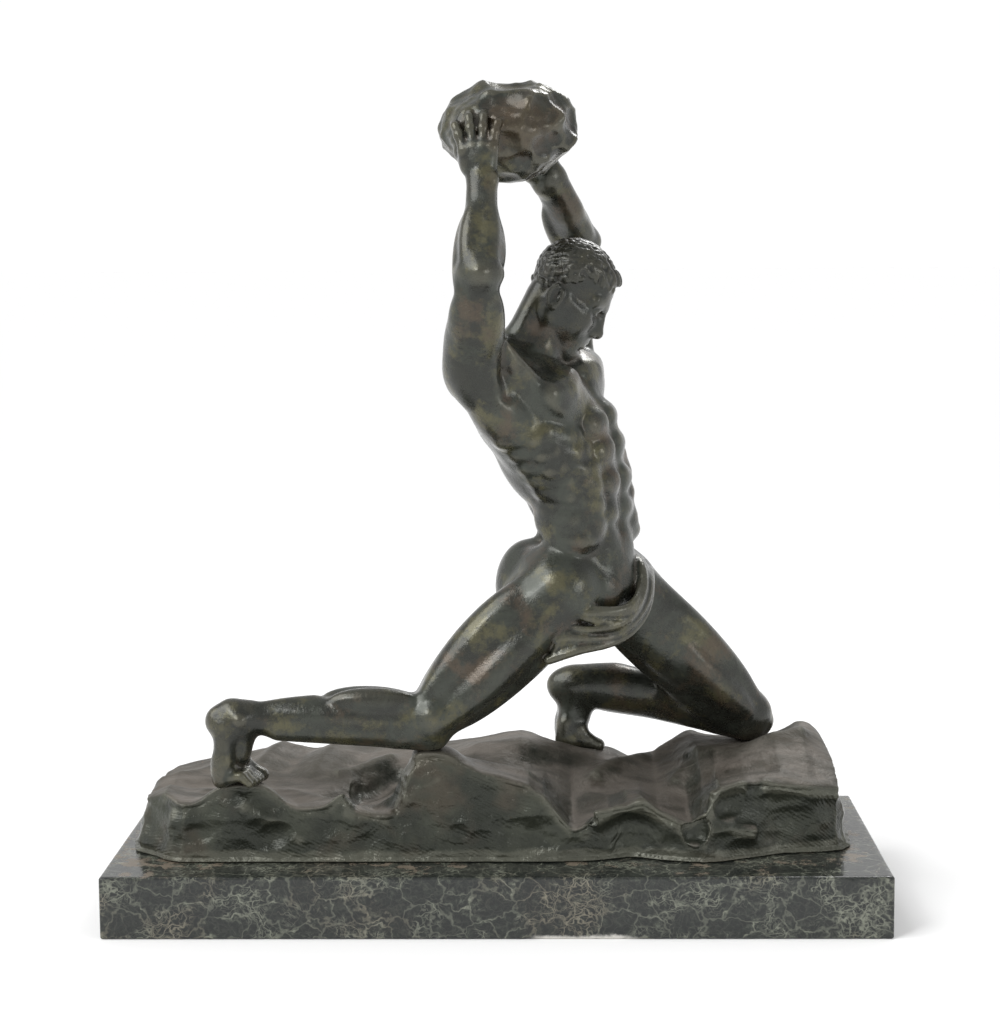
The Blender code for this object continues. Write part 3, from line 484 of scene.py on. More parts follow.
# the foot stands on its toes: p steps from the ankle down to the ball, back, and to the outer side
def foot(clay, limbs):
    knee, ankle, ball = limbs["knee"], limbs["ankle"], limbs["ball"]
    outward = vec(0, -limbs["side"], 0)
    shin = Bone(knee, ankle, knee - limbs["hip"], outward)
    down = unit(ball - ankle)
    back = unit(np.cross(outward, down))
    if back[0] > 0:
        back = -back
    outer = np.cross(down, back)
    if outer @ outward < 0:
        outer = -outer

    def p(d, b, o):
        return ankle + down * d + back * b + outer * o

    # heel, its tendon and the ankle bones
    tendon = shin.at(0.62, -10, 0)
    clay.limb(tendon, p(-2, 14, 0), (4.6, 4.2), (5, 4), back, melt=6)
    clay.limb(p(-2, 6, 0), p(3, 12.5, 0), (10, 11), (9.5, 11), back, melt=4)
    clay.lump(p(1, 0, 0), (11, 11, 11), melt=5)
    clay.lump(p(-1, 0, 9.5), (4.6, 4.4, 4), melt=3)
    clay.lump(p(-3, -1, -9.5), (5, 4.6, 4), melt=3)
    # middle of the foot
    clay.limb(p(2, 3, -2), p(33, 5, -5), (11.5, 13), (9, 9), back, melt=5)
    clay.limb(p(6, 9, 5), p(33, 9, 8), (7.5, 7), (7.5, 6), back, melt=5)
    clay.limb(p(-4, -5, -1), p(22, -3, -3), (8, 6), (7, 4), back, melt=5)
    clay.limb(p(26, 8, -9), p(36, 8, -10), (7.5, 7.5), (7.5, 7.5), back, melt=4)
    clay.limb(p(28, 9, 7), p(38, 9, 8), (7.5, 7), (7, 6), back, melt=4)
    clay.limb(p(35, 2, -9), p(35.5, 2, 7), (5.5, 5.5), (5, 5), back, melt=4)
    # toes bent forward on the ground: length and radius of each, from the big toe outward
    for k, (reach, r) in enumerate(((17.5, 5.2), (17, 3.4), (16, 3.2), (14.5, 3.1), (12.5, 3.0))):
        o = -10.5 + k * 5.4 - (1.6 if k == 0 else 0)
        root = p(37.5 - k * 0.3, 3, o)
        mid = p(35.5 if k == 0 else 35.0, 3 - reach * 0.55, o)
        tip = p(39.3 - (r - 3) * 0.6, 3 - reach, o * 1.02)
        clay.limb(root, mid, (r * 1.05, r * 1.1), (r, r), back, melt=2.5)
        clay.limb(mid, tip, (r, r), (r * 1.05, r * 0.85), down, melt=1.8)
    clay.lump(p(29.5, -1, -11), (6, 6, 6), melt=4)


def arm(clay, limbs):
    side, shoulder, elbow, wrist = (limbs[key] for key in ("side", "shoulder", "elbow", "wrist"))
    # both bones' front is the way the elbow bends, and their outer side is the thumb's, at his back
    thumb = vec(-1, 0, 0) if side > 0 else vec(-1, -0.2, 0.2)
    upper = Bone(shoulder, elbow, wrist - elbow, thumb)
    fore = Bone(elbow, wrist, shoulder - elbow, thumb)
    flex = upper.front
    u, f = upper.at, fore.at
    clay.limb(u(-0.05), u(1.0), (15.5, 15.5), (12.5, 12), flex, melt=7)
    muscles(clay, upper, (
        (0.12, 8, 1, 0.98, 7.5, 0, 10.5, 9.5),  # biceps
        (0.45, 3, 8, 1.02, 3, 6, 6, 6.5),  # brachialis
        (-0.05, -7, -7, 0.90, -9, -8.5, 11, 9),  # long triceps
        (0.06, -7, 7, 0.90, -8, 9.5, 11, 9),  # outer triceps
    ), 3, 1.03)
    # deltoid: three strands from the shoulder girdle to the middle of the arm
    clay.lump(u(0.0, -1, 2), (15.5, 15.5, 15.5), melt=6)
    clay.muscle(u(-0.22, 8, 3), u(0.56, 2, 11), 10, 9, flex + upper.outer, melt=3.5)
    clay.muscle(u(-0.28, -2, 10), u(0.60, -1, 12), 11, 9, upper.outer, melt=3.5)
    clay.muscle(u(-0.24, -12, 2), u(0.54, -4, 10), 10, 9, -flex + upper.outer, melt=3.5)
    clay.limb(onTrunk(128, 44, -12, side), u(0.38, -8, 0), (12, 9), (7, 7), flex, melt=6)
    clay.limb(onTrunk(132, 40, 14, side), u(0.38, -1, -8), (11, 8), (6, 6), flex, melt=6)
    clay.muscle(u(0.12, -9, 9), onTrunk(108, 44, -14, side), 15, 10, upper.outer - flex, melt=12)
    # elbow
    clay.lump(elbow - flex * 5 - fore.front * 5.5, (6, 6.5, 6), melt=4)
    clay.lump(elbow + upper.outer * 9.5, (5.5, 6, 5.5), melt=4)
    clay.lump(elbow - upper.outer * 10, (5.2, 5.5, 5.2), melt=4)
    clay.lump(elbow, (11, 11, 11), melt=5)
    # forearm
    clay.limb(f(0.0), f(1.0), (11, 11), (9.8, 7.4), fore.front, melt=6)
    muscles(clay, fore, (
        (-0.22, 6, 10.5, 0.66, 4, 8, 7.5, 8),  # thumb-side muscle
        (0.0, -4, 8, 0.70, -4, 5, 7, 7.5),  # back muscles
        (0.0, 4, -9.5, 0.72, 3, -4, 9, 9),  # palm-side muscles
        (0.02, -5, -6, 0.74, -4, -5, 6.5, 6.5),  # little-finger side
        (0.05, 6, 0, 0.72, 4, 0, 8, 7),  # middle of the palm side
    ), 3, 1.03)
    clay.limb(f(0.0, -8, -1), f(0.95, -4.5, -5.5), (3.4, 3), (3.2, 3), fore.front, melt=3)
    clay.lump(f(0.97, -5, -7), (3.8, 3.8, 3.8), melt=3)
    # heel of the far hand
    if side < 0:
        clay.limb(wrist + vec(6, 2, 4), wrist + vec(17, 12, -20), (7.5, 7), (8.5, 8), melt=8)


# up runs from the wrist to the knuckles, thumbWay across the hand and palm the way the palm faces;
# every step and radius is multiplied by the hand's size
def hand(clay, wrist, up, thumbWay, palm, turns, thumb, length=16.5, size=1.0):
    def p(u, a, q):
        return wrist + (up * u + thumbWay * a + palm * q) * size

    def limb(a, b, first, last, melt):
        clay.limb(a, b, np.multiply(first, size), np.multiply(last, size), palm, melt=melt)

    def lump(centre, radii, melt):
        clay.lump(centre, np.multiply(radii, size), melt=melt)

    limb(p(-6, 0, 0), p(8, 0.5, 0), (9.6, 7), (12, 7.5), 5)
    limb(p(6, 6, 2), p(length, 7, 4), (6, 6), (6, 6), 5)
    for k in range(4):
        a = (10.2, 3.5, -3.4, -9.6)[k]
        fan = (0.26, 0.07, -0.08, -0.30)[k]
        knuckle = p(length - (1.5, 0, 0.6, 2.6)[k], a, -0.5 * abs(k - 1.3))
        limb(p(3, a * 0.7, 0.5), knuckle, (4.6, 5.2), (4.3, 4.3), 3.5)
        lump(knuckle - palm * 1.0, (3.9, 4.0, 3.4), 3)
        # three joints of the finger, each turned further toward the palm
        at, angle = knuckle, 0.0
        for part, turn in enumerate(turns):
            angle += turn
            r = math.radians(angle)
            way = unit(up * math.cos(r) + palm * math.sin(r) + thumbWay * fan)
            long = (13.6, 10.2, 7.0)[part] * (0.88, 1.0, 0.97, 0.80)[k] * size
            end = at + way * long
            first, last = ((3.9, 3.5), (3.4, 3.1), (3.1, 2.5))[part]
            limb(at, end, first, last, 1.3)
            if part == 0:
                lump(end - palm * 0.2, (3.5, 3.5, 3.4), 1.3)
            if part == 2:
                lump(end - palm * 1.4 - way * 0.6, (1.9, 1.9, 1.5), 0.8)
            at = end
    # thumb
    root = p(4, 8, 3)
    knuckle = root + thumb[0]
    end = knuckle + thumb[1]
    limb(root, knuckle, (6.4, 6.2), (4.6, 4.4), 4.5)
    limb(knuckle, end, 4.2, 3.7, 2.5)
    limb(end, end + thumb[2], 3.7, 3.0, 2)


def hands(clay):
    hand(clay, nearLimbs["wrist"] + vec(-0.5, 2, 6), unit(vec(-0.12, 0.05, 1)), unit(vec(-1, 0.1, -0.15)),
         unit(vec(0.08, 1, 0.1)), (12, 26, 30), (vec(-6, 9, 8), vec(-3, 9, 8), vec(0, 8, 5)), size=0.9)
    hand(clay, farLimbs["wrist"] + vec(0, 0, 3), unit(vec(-0.35, 0.02, 1)), unit(vec(-0.9, -0.25, -0.2)),
         unit(vec(-0.3, -1, 0.05)), (16, 26, 22), (vec(-7, -6, 4), vec(-7, -7, 6), vec(-5, -5, 6)), 21, 0.94)


# the head's middle and its directions, the face bent down by the pitch
headCentre = vec(52.2, 0, 411)
pitch = np.radians(34)
headFront = unit(vec(np.cos(pitch), -0.06, -np.sin(pitch)))
headLeft = unit(vec(0.06, 1, 0.0))
headLeft = unit(headLeft - headLeft @ headFront * headFront)
headUp = np.cross(headFront, headLeft)
headAxes = (headLeft, headUp, headFront)


def onHead(l, u, f):
    return headCentre + headLeft * l + headUp * u + headFront * f


def head(clay):
    neckBase = onTrunk(158, 0, 2)
    clay.limb(neckBase, onHead(0, -20, -5), (20, 19.5), (17.5, 17.5), headFront, melt=8)
    for side in (1, -1):
        # strand from behind the ear to the pit of the neck
        clay.limb(onHead(17 * -side, -19, -6), onTrunk(160, 6, 19, side), (5.5, 5), (4, 4), melt=4)
        clay.limb(onHead(10 * -side, -16, -14), onTrunk(163, 16, -8, side), (8, 7), (10, 8), melt=6)
    # skull, face and jaw
    clay.lump(onHead(0, 1.5, 0), (23.0, 23.5, 25.5), headAxes, melt=6)
    clay.lump(onHead(0, -4, 8), (21.0, 24, 19), headAxes, melt=6)
    clay.lump(onHead(0, -19, 8.5), (17.0, 22, 17.6), headAxes, melt=8)
    clay.limb(onHead(0, -22, 9), onHead(0, -36, 15), (16.5, 15), (10.5, 9.5), headFront, melt=8)
    for side in (1, -1):
        clay.limb(onHead(17.0 * side, -25, 0), onHead(6 * side, -39.5, 20), (5, 6), (4.6, 4.6), melt=6)
        clay.limb(onHead(17.0 * side, -12, 0), onHead(17.0 * side, -26, 1), (4.6, 7), (4.5, 6), melt=6)
        clay.limb(onHead(19.0 * side, -14, 4), onHead(12.0 * side, -17, 18.5), (3.2, 3.2), (4.0, 3.6), melt=9)
        clay.lump(onHead(11 * side, -23, 15.5), (8, 9, 7), headAxes, melt=9)
        clay.lump(onHead(22 * side, 1, 13), (4, 8, 8), headAxes, melt=9, cut=True)
    # nose: its ridge, the wedge under it, tip and wings
    clay.limb(onHead(0, -9, 22.5), onHead(0, -20, 26.0), (4, 4), (5.6, 5), headFront, melt=5)
    clay.limb(onHead(0, -6.5, 25.4), onHead(0, -20.0, 31.4), (2.3, 2.8), (2.9, 3.6), headFront, melt=4)
    clay.lump(onHead(0, -21.2, 32.2), (3.3, 3.0, 3.2), headAxes, melt=2.5)
    for side in (1, -1):
        clay.lump(onHead(4.2 * side, -22.4, 28.4), (2.5, 2.5, 3.4), headAxes, melt=2.2)
        clay.lump(onHead(2.2 * side, -25.0, 30.0), (1.0, 1.0, 1.5), headAxes, melt=1.2, cut=True)
        # brow, hollow of the eye, ball and lids
        clay.lump(onHead(10.8 * side, -9, 27.0), (7.0, 4.4, 5.0), headAxes, melt=5, cut=True)
        browEnd = onHead(15.5 * side, -3.4, 20.6)
        clay.limb(onHead(3.5 * side, -3.8, 25.4), browEnd, (2.2, 2.8), (2.0, 2.6), headUp, melt=5)
        clay.lump(onHead(9.8 * side, -9.4, 20.0), (5.0, 5.0, 5.0), headAxes, melt=1.6)
        lids = ((5.0, 0, 23.4), (7.4, 1.8, 24.9), (9.8, 2.3, 25.1), (12.2, 1.7, 24.2), (14.4, -0.2, 21.6))
        for up, size in ((1.0, 1.0), (-0.8, 0.8)):
            edge = [onHead(l * side, -9.4 + u * up, f - (0 if up > 0 else 0.4)) for l, u, f in lids]
            clay.rope(np.array(edge), np.array([0.8, 1, 1, 1, 0.7]) * size, melt=1.3)
        ear(clay, side)
    # muzzle, lips and chin
    clay.lump(onHead(0, -31, 21.8), (10.5, 9, 7.2), headAxes, melt=6)
    for side in (1, -1):
        corner = onHead(7.0 * side, -31.0, 25.2)
        clay.limb(onHead(0.9 * side, -29.4, 28.6), corner, (1.5, 1.4), (0.8, 0.9), headUp, melt=2)
    clay.limb(onHead(-3.0, -33.6, 27.7), onHead(3.0, -33.6, 27.7), (1.8, 1.7), (1.8, 1.7), headUp, melt=2.5)
    clay.lump(onHead(0, -37.2, 28.6), (6.5, 1.5, 2.0), headAxes, melt=3.5, cut=True)
    clay.lump(onHead(0, -41.3, 22.6), (7.4, 5.4, 6.2), headAxes, melt=5)
    hair(clay)


# a flat shell whose rim is a rope along an open ellipse, with a bowl cut in it, a lobe and a flap
def ear(clay, side):
    tilt = unit(headUp * 0.97 - headFront * 0.22)
    out = headLeft * side
    axes = (out, tilt, unit(np.cross(headLeft, tilt)))
    centre = onSkin(clay, onHead(23.0 * side, -14.5, -4), out) - out * 0.6
    clay.lump(centre, (3.0, 7.8, 4.6), axes, melt=2.5)
    turn = np.radians(np.linspace(-215, 80, 18))
    steps = np.stack([np.linspace(1.8, 2.4, 18), np.sin(turn) * 7.3, -np.cos(turn) * 4.5], 1)
    clay.rope(centre + steps @ np.array(axes), np.full(18, 1.1), melt=1.2)
    for step, radii, melt, cut in (((4.0, 0.8, 0.4), (2.2, 4.2, 2.5), 1.8, True),
                                   ((2.0, -6.8, 1.4), (1.7, 2.4, 2.0), 1.6, False),
                                   ((1.4, -0.5, 4.0), (1.5, 2.2, 1.2), 1.6, False)):
        clay.lump(centre + np.array(step) @ np.array(axes), radii, axes, melt, cut)


# hair: a cap over the scalp, then short locks whose tapered ends run back and down in waves
hairLook = dict(rows=17, spacing=5.0, width=1.9, thickness=1.75, melt=0.7, seed=4)


def hair(clay):
    rng = np.random.default_rng(hairLook["seed"])
    clay.lump(onHead(0, 2.0, -1.2), (22.5, 22.6, 24.6), headAxes, melt=3)
    locks = []
    for row in range(hairLook["rows"]):
        polar = math.radians(4 + row * 8.4)
        n = max(4, int(round(2 * math.pi * math.sin(polar) * 25 / hairLook["spacing"])))
        for k in range(n):
            turn = 2 * math.pi * (k + 0.5 * (row % 2)) / n + rng.uniform(-0.08, 0.08)
            l, f, u = math.sin(polar) * math.sin(turn), math.sin(polar) * math.cos(turn), math.cos(polar)
            low, front = u * 24.4 + 2, f * 26.0 - 1
            # the face, the ears and the neck stay clear
            if (front > 4 and low < 11 - 0.2 * abs(l) * 24) or (front > -9 and low < -3) or low < -14:
                continue
            normal = unit(headLeft * l / 24 + headUp * u / 24 + headFront * f / 26)
            start = onHead(l * 23.9, low, front)
            p = onSkin(clay, start, normal)
            if np.linalg.norm(p - start) > 2.8:
                continue
            flow = unit(-headUp * 0.55 - headFront * 0.9 + headLeft * rng.uniform(-0.5, 0.5))
            if f > 0.25:
                flow = unit(headFront * 0.8 - headUp * 0.4 + headLeft * rng.uniform(-0.7, 0.7))
            flow = unit(flow - flow @ normal * normal)
            bend = np.cross(flow, normal) * rng.choice((-1, 1)) * rng.uniform(1.0, 2.2)
            p = p - normal * 0.45
            locks.append((p - flow * 4.4 - bend * 0.5, p + bend * 0.5 + flow * 0.9, normal))
            locks.append((p + bend * 0.5 - flow * 0.9, p + flow * 4.8 - bend * 0.6, normal))
    for a, c, normal in locks:
        clay.muscle(a, c, hairLook["width"], hairLook["thickness"], normal, hairLook["melt"])
    # the forelock that swells over the brow
    for l, u, f in ((-12, 11, 20), (-8, 13.5, 23), (-4, 14.5, 25), (0, 15, 25.8), (4, 14.5, 25), (8, 13, 23),
                    (12, 10.5, 20)):
        start, end = onHead(l - 2.5, u + 5, f - 8), onHead(l + 2.0, u - 2.5, f + 1.5)
        clay.muscle(start, end, 2.3, 3.0, headFront + headUp, melt=0.8)


# loincloth: folded strands between its upper and lower hems, from the near groin over the belly,
# round the far hip and back beneath him
clothLook = dict(strands=8, thickness=2.5, fold=1.3)
clothUpper = np.array([
    (50, -43, 206), (66, -46, 201), (83, -41, 199), (91, -32, 204), (94, -19, 213), (93, -6, 224),
    (89, 14, 228), (82, 38, 221), (66, 58, 208), (44, 50, 196), (28, 26, 187), (28, 2, 180), (38, -20, 180),
], float)
clothLower = np.array([
    (35, -50, 170), (53, -51, 174), (72, -45, 177), (88, -34, 184), (99, -20, 197), (101, -6, 212),
    (98, 18, 218), (90, 44, 208), (70, 62, 196), (46, 52, 186), (30, 26, 176), (31, 2, 170), (38, -18, 172),
], float)


# a smooth curve through points: each stretch is the cubic whose slopes join its neighbours
def smoothCurve(points, parts=4):
    ends = np.concatenate([points[:1] * 2 - points[1:2], points, points[-1:] * 2 - points[-2:-1]])
    a, b, c, d = ends[:-3], ends[1:-2], ends[2:-1], ends[3:]
    t = (np.arange(parts) / parts)[None, :, None]
    a, b, c, d = (v[:, None, :] for v in (a, b, c, d))
    square, cube = 2 * a - 5 * b + 4 * c - d, 3 * b - a - 3 * c + d
    curve = 0.5 * (2 * b + (c - a) * t + square * t * t + cube * t ** 3)
    return np.concatenate([curve.reshape(-1, 3), points[-1:]])


def cloth(clay):
    upper, lower = smoothCurve(clothUpper), smoothCurve(clothLower)
    run = np.linspace(0, 1, len(upper))
    middle = vec(62, 0, 205)
    strands = clothLook["strands"]
    for k in range(strands):
        t = k / (strands - 1)
        t = t + 0.05 * np.sin(run * 21 + k * 2.1)
        line = upper + (lower - upper) * t[:, None]
        lift = clothLook["fold"] * (0.9 if k % 2 else -0.5) * (1 + 0.6 * np.sin(run * 17 + k * 1.7))
        away = line - middle
        away[:, 2] *= 0.4
        line = line + away / np.linalg.norm(away, axis=1)[:, None] * lift[:, None]
        thick = clothLook["thickness"] * (1 + 0.25 * np.sin(run * 13 + k * 2.9))
        clay.rope(line, thick, melt=1.6)
    # the loose end that hangs in front of the near thigh
    for k in range(4):
        start, end = vec(44 + k * 3.2, -49.5, 186 - k), vec(36 + k * 4.6, -51, 169 + k * 1.6)
        clay.limb(start, end, 2.6, 2.0, melt=1.4)


# a struck stone: an ellipsoid cut back to flat facets, each facet a direction and its reach in
# shares of the radius, then shallow scoops bitten out of it
boulderLook = dict(centre=(9.4, -9, 507.3), radii=(49, 44, 34), edge=1.6, scoopDepth=4.8, biteDepth=1.9)
boulderFacets = (
    ((0.05, -0.3, 1), 0.86), ((-0.15, -1, 0.45), 0.84), ((0.45, -1, 0.2), 0.86), ((0.15, -1, -0.3), 0.87),
    ((0.6, -0.6, 0.75), 0.88), ((0.6, -0.85, -0.5), 0.84), ((1, -0.25, 0.1), 0.9),
    ((0.8, -0.3, -0.8), 0.86), ((-1, -0.3, 0.35), 0.9), ((-0.7, -0.5, 0.8), 0.9),
    ((-0.9, -0.3, -0.7), 0.88), ((0.1, 0.2, -1), 0.9), ((0.5, 1, 0.3), 0.86), ((-0.6, 1, 0.1), 0.86),
    ((0.2, 0.9, 0.9), 0.88), ((0.1, 1, -0.8), 0.88), ((0.9, 0.6, 0.5), 0.88),
)


def boulder(clay):
    centre = np.array(boulderLook["centre"], float)
    radii = np.array(boulderLook["radii"], float)
    edge = boulderLook["edge"]
    meanRadius = 38
    window = clay.window(centre - radii - 6, centre + radii + 6)
    x, y, z = (f / r for f, r in zip(clay.offsets(window, centre), radii))
    stone = (np.sqrt(x * x + y * y + z * z) - 1) * meanRadius
    for way, reach in boulderFacets:
        way = unit(way)
        plane = (x * way[0] + y * way[1] + z * way[2] - reach) * meanRadius
        h = np.clip(0.5 - 0.5 * (stone - plane) / edge, 0, 1)
        stone = stone + (plane - stone) * h + edge * h * (1 - h)
    # ragged scoops: each spot sinks by the square of its nearness to a scattered seed
    grids = np.meshgrid(*[axis[w] for axis, w in zip(clay.axes, window)], indexing="ij")
    places = np.stack(grids, -1).reshape(-1, 3)
    for spacing, depth, seed in ((21, boulderLook["scoopDepth"], 3), (10, boulderLook["biteDepth"], 8)):
        near = nearestSeeds(places, spacing, seed, (1.1, 1.0, 0.9)).reshape(stone.shape)
        stone = stone + depth * np.clip(1 - (near / 0.9) ** 2, 0, 1) - depth * 0.35
    clay.stir(window, stone, 2.0)


# the axes of a block whose step is finer in some bands
def bandedAxis(low, high, step, bands):
    marks = [low]
    while marks[-1] < high:
        fine = [s for a, b, s in bands if a <= marks[-1] < b]
        marks.append(marks[-1] + (fine[0] if fine else step))
    return np.array(marks)


figureLook = dict(step=1.3, faceStep=0.75, soften=1.7, triangles=190000)


def sculptFigure():
    step = figureLook["step"] * 1
    face = figureLook["faceStep"] * 1
    clay = Clay([bandedAxis(-190, 193, step, [(24, 84, face)]),
                 bandedAxis(-111, 94, step, [(-30, 30, face)]),
                 bandedAxis(76, 543, step, [(372, 440, face)])])
    body(clay)
    for limbs in (nearLimbs, farLimbs):
        leg(clay, limbs)
        arm(clay, limbs)
    clay.soften(figureLook["soften"])
    ribs(clay)
    trunkLump(clay, 37, 0, 30, (2.0, 2.6, 3), melt=2.5, cut=True)
    trunkLump(clay, 163, 0, 22, (4, 5, 4), melt=4, cut=True)
    for limbs in (nearLimbs, farLimbs):
        foot(clay, limbs)
    head(clay)
    cloth(clay)
    boulder(clay)
    hands(clay)
    return clay


# each point's bulge: how far the mean of the field at 26 places round it, all at this reach, stands
# above its own value, so ridges are positive and hollows negative
def bulgeAt(clay, points, reach):
    total = np.zeros(len(points))
    ways = [np.array(step) - 1 for step in np.ndindex(3, 3, 3) if step != (1, 1, 1)]
    for way in ways:
        total += sampleField(clay, points + way * reach / np.linalg.norm(way))
    return total / len(ways) - sampleField(clay, points)


# the field at any points, by straight-line interpolation between the eight grid points round each
def sampleField(clay, points):
    index, share = [], []
    for k, axis in enumerate(clay.axes):
        i = np.clip(np.searchsorted(axis, points[:, k]) - 1, 0, len(axis) - 2)
        index.append(i)
        share.append(np.clip((points[:, k] - axis[i]) / (axis[i + 1] - axis[i]), 0, 1))
    result = np.zeros(len(points))
    for i in (0, 1):
        for j in (0, 1):
            for k in (0, 1):
                weight = ((share[0] if i else 1 - share[0]) * (share[1] if j else 1 - share[1])
                          * (share[2] if k else 1 - share[2]))
                result += weight * clay.field[index[0] + i, index[1] + j, index[2] + k]
    return result


# a mesh object from points in millimetres, with named numbers kept at its points
def meshPiece(name, points, faces, numbers=None, triangles=None):
    mesh = bpy.data.meshes.new(name)
    mesh.from_pydata(points * 0.001, [], faces)
    for label, values in (numbers or {}).items():
        kept = mesh.attributes.new(label, "FLOAT", "POINT")
        kept.data.foreach_set("value", np.asarray(values, np.float32))
    mesh.polygons.foreach_set("use_smooth", np.ones(len(mesh.polygons), bool))
    piece = bpy.data.objects.new(name, mesh)
    bpy.context.collection.objects.link(piece)
    corners = sum(p.loop_total - 2 for p in mesh.polygons) if triangles else 0
    if triangles and corners > triangles:
        thin = piece.modifiers.new("thin", "DECIMATE")
        thin.ratio = triangles / corners
        bpy.context.view_layer.update()
        shape = piece.evaluated_get(bpy.context.evaluated_depsgraph_get())
        finished = bpy.data.meshes.new_from_object(shape)
        piece.modifiers.clear()
        piece.data = finished
        bpy.data.meshes.remove(mesh)
        finished.name = name
    return piece


# distance from each point to the nearest of the seeds scattered one to a cell, as a share of their
# spacing, which the stretch widens along each axis: the stuff of chisel scoops
def nearestSeeds(points, spacing, seed, stretch):
    rng = np.random.default_rng(seed)
    p = points / (np.array(stretch) * spacing)
    low = np.floor(p.min(0)).astype(int) - 1
    count = np.ceil(p.max(0)).astype(int) + 2 - low
    corners = np.stack(np.meshgrid(*[np.arange(n) for n in count], indexing="ij"), -1) + low
    seeds = rng.random((*count, 3)) + corners
    cell = np.floor(p).astype(int) - low
    nearest = np.full(len(p), 9.0)
    for step in np.ndindex(3, 3, 3):
        other = np.clip(cell + step - 1, 0, count - 1)
        away = p - seeds[tuple(other.T)]
        nearest = np.minimum(nearest, np.sqrt((away ** 2).sum(1)))
    return nearest


# rocky ground
rockLook = dict(step=1.2, triangles=190000, bottom=40.3, melt=5.5, sink=1.6, dip=4.0, strokes=5,
                scoopDepth=3.0, middleScoopDepth=1.5, smallScoopDepth=0.7)
# the ground's rim seen from the front: x, height of its front edge, y of its foot
rimFront = np.array([
    (-242, 62, -38), (-232, 76, -50), (-216, 83, -62), (-204, 79, -72), (-170, 76, -72), (-123, 76, -72),
    (-98, 78, -72), (-90, 68, -72), (-79, 66, -72), (-63, 71, -72), (-54, 84, -72), (-38, 97, -72),
    (-16, 100, -72), (3, 95, -72), (21, 90, -72), (31, 83, -72), (50, 62, -71), (59, 65, -70),
    (72, 68, -66), (84, 77, -61), (94, 77, -62), (106, 68, -68), (125, 62, -73), (134, 74, -74),
    (144, 86, -72), (161, 90, -64), (186, 90, -52), (210, 82, -49), (225, 82, -44), (238, 64, -36),
])
# and its skyline behind: x and height
rimBack = np.array([
    (-242, 62), (-228, 76), (-205, 80), (-167, 87), (-150, 89), (-133, 90), (-106, 89), (-60, 90),
    (-29, 93), (15, 100), (42, 97), (66, 92), (84, 83), (106, 81), (120, 88), (134, 98), (160, 104),
    (185, 113), (205, 114), (219, 104), (231, 92), (240, 66),
])


# folds modelled on top of the ground: rise, half width, then points in the plan
rockFolds = (
    (7.0, 8, ((-62, -44), (-84, -52), (-99, -64))), (-7.0, 8, ((-108, -34), (-88, -14), (-70, 6))),
    (3.5, 6, ((-108, 2), (-74, 26))), (3.5, 7, ((-164, 8), (-152, 60))),
    (-3.5, 7, ((-144, 12), (-130, 58))), (3.0, 7, ((-124, 4), (-112, 58))),
    (-2.5, 6, ((-100, 12), (-88, 52))), (-3.5, 8, ((-226, -18), (-190, -6), (-176, 12))),
    (2.5, 6, ((-232, 4), (-206, 14), (-190, 30))), (5.0, 13, ((-12, 18), (16, 18))),
    (-3.5, 8, ((-30, -6), (8, -14), (36, 8))), (6.0, 8, ((130, 66), (105, 45), (82, 24), (66, 2))),
    (-3.0, 9, ((92, 60), (70, 34), (52, 12))), (3.5, 6, ((119, 4), (121, 10))),
    (2.5, 7, ((133, 22), (158, 4), (205, 18))), (-3.0, 8, ((128, -10), (150, -24), (176, -26))),
    (3.0, 7, ((60, -20), (84, -34), (96, -52))), (-2.5, 8, ((36, -30), (58, -44))),
    (2.5, 6, ((-36, -40), (-8, -30), (20, -34))), (2.0, 6, ((-190, -30), (-140, -26), (-112, -46))),
    (-2.0, 7, ((-176, -52), (-130, -50))),
)


# share of a fold's rise over the plan: e to the power of -(distance to its line / its half width)^2
def foldAt(x, y, wide, line):
    nearest = np.full(x.shape, 1e9)
    for (ax, ay), (bx, by) in zip(line[:-1], line[1:]):
        ex, ey = bx - ax, by - ay
        t = np.clip(((x - ax) * ex + (y - ay) * ey) / (ex * ex + ey * ey), 0, 1)
        nearest = np.minimum(nearest, (x - ax - t * ex) ** 2 + (y - ay - t * ey) ** 2)
    return np.exp(-nearest / wide ** 2)


# height of the ground's top over the plan: from the front rim to the back skyline, with a dip
# between them and the folds on it
def rockTop(x, y):
    front = np.interp(x, rimFront[:, 0], rimFront[:, 1])
    back = np.interp(x, rimBack[:, 0], rimBack[:, 1])
    share = np.clip((y + 62) / 112, 0, 1)
    share = share * share * (3 - 2 * share)
    top = front + (back - front) * share
    top -= rockLook["dip"] * np.exp(-((y + 8) / 26) ** 2) * np.clip((210 - np.abs(x)) / 60, 0, 1)
    for rise, wide, line in rockFolds:
        top += rise * foldAt(x, y, wide, line)
    return top - 9 * np.clip((y - 52) / 26, 0, 1.4) ** 2


# signed distance in the plan to the ground's outline, negative inside
def outlineDistance(x, y):
    sidesAndBack = ((232, -34), (235, 0), (233, 40), (222, 60), (180, 71), (120, 74), (40, 75), (-60, 75),
                    (-140, 74), (-205, 71), (-230, 56), (-241, 20), (-242, -20), (-237, -44))
    ring = np.concatenate([rimFront[2:-1, ::2], sidesAndBack])
    best = np.full(x.shape, 1e9)
    inside = np.zeros(x.shape, bool)
    for (ax, ay), (bx, by) in zip(ring, np.roll(ring, -1, 0)):
        ex, ey = bx - ax, by - ay
        t = np.clip(((x - ax) * ex + (y - ay) * ey) / (ex * ex + ey * ey), 0, 1)
        best = np.minimum(best, (x - ax - t * ex) ** 2 + (y - ay - t * ey) ** 2)
        crosses = (ay > y) != (by > y)
        inside ^= crosses & (x < ax + (y - ay) * ex / (ey if ey else 1e-9))
    return np.where(inside, -1, 1) * np.sqrt(best)


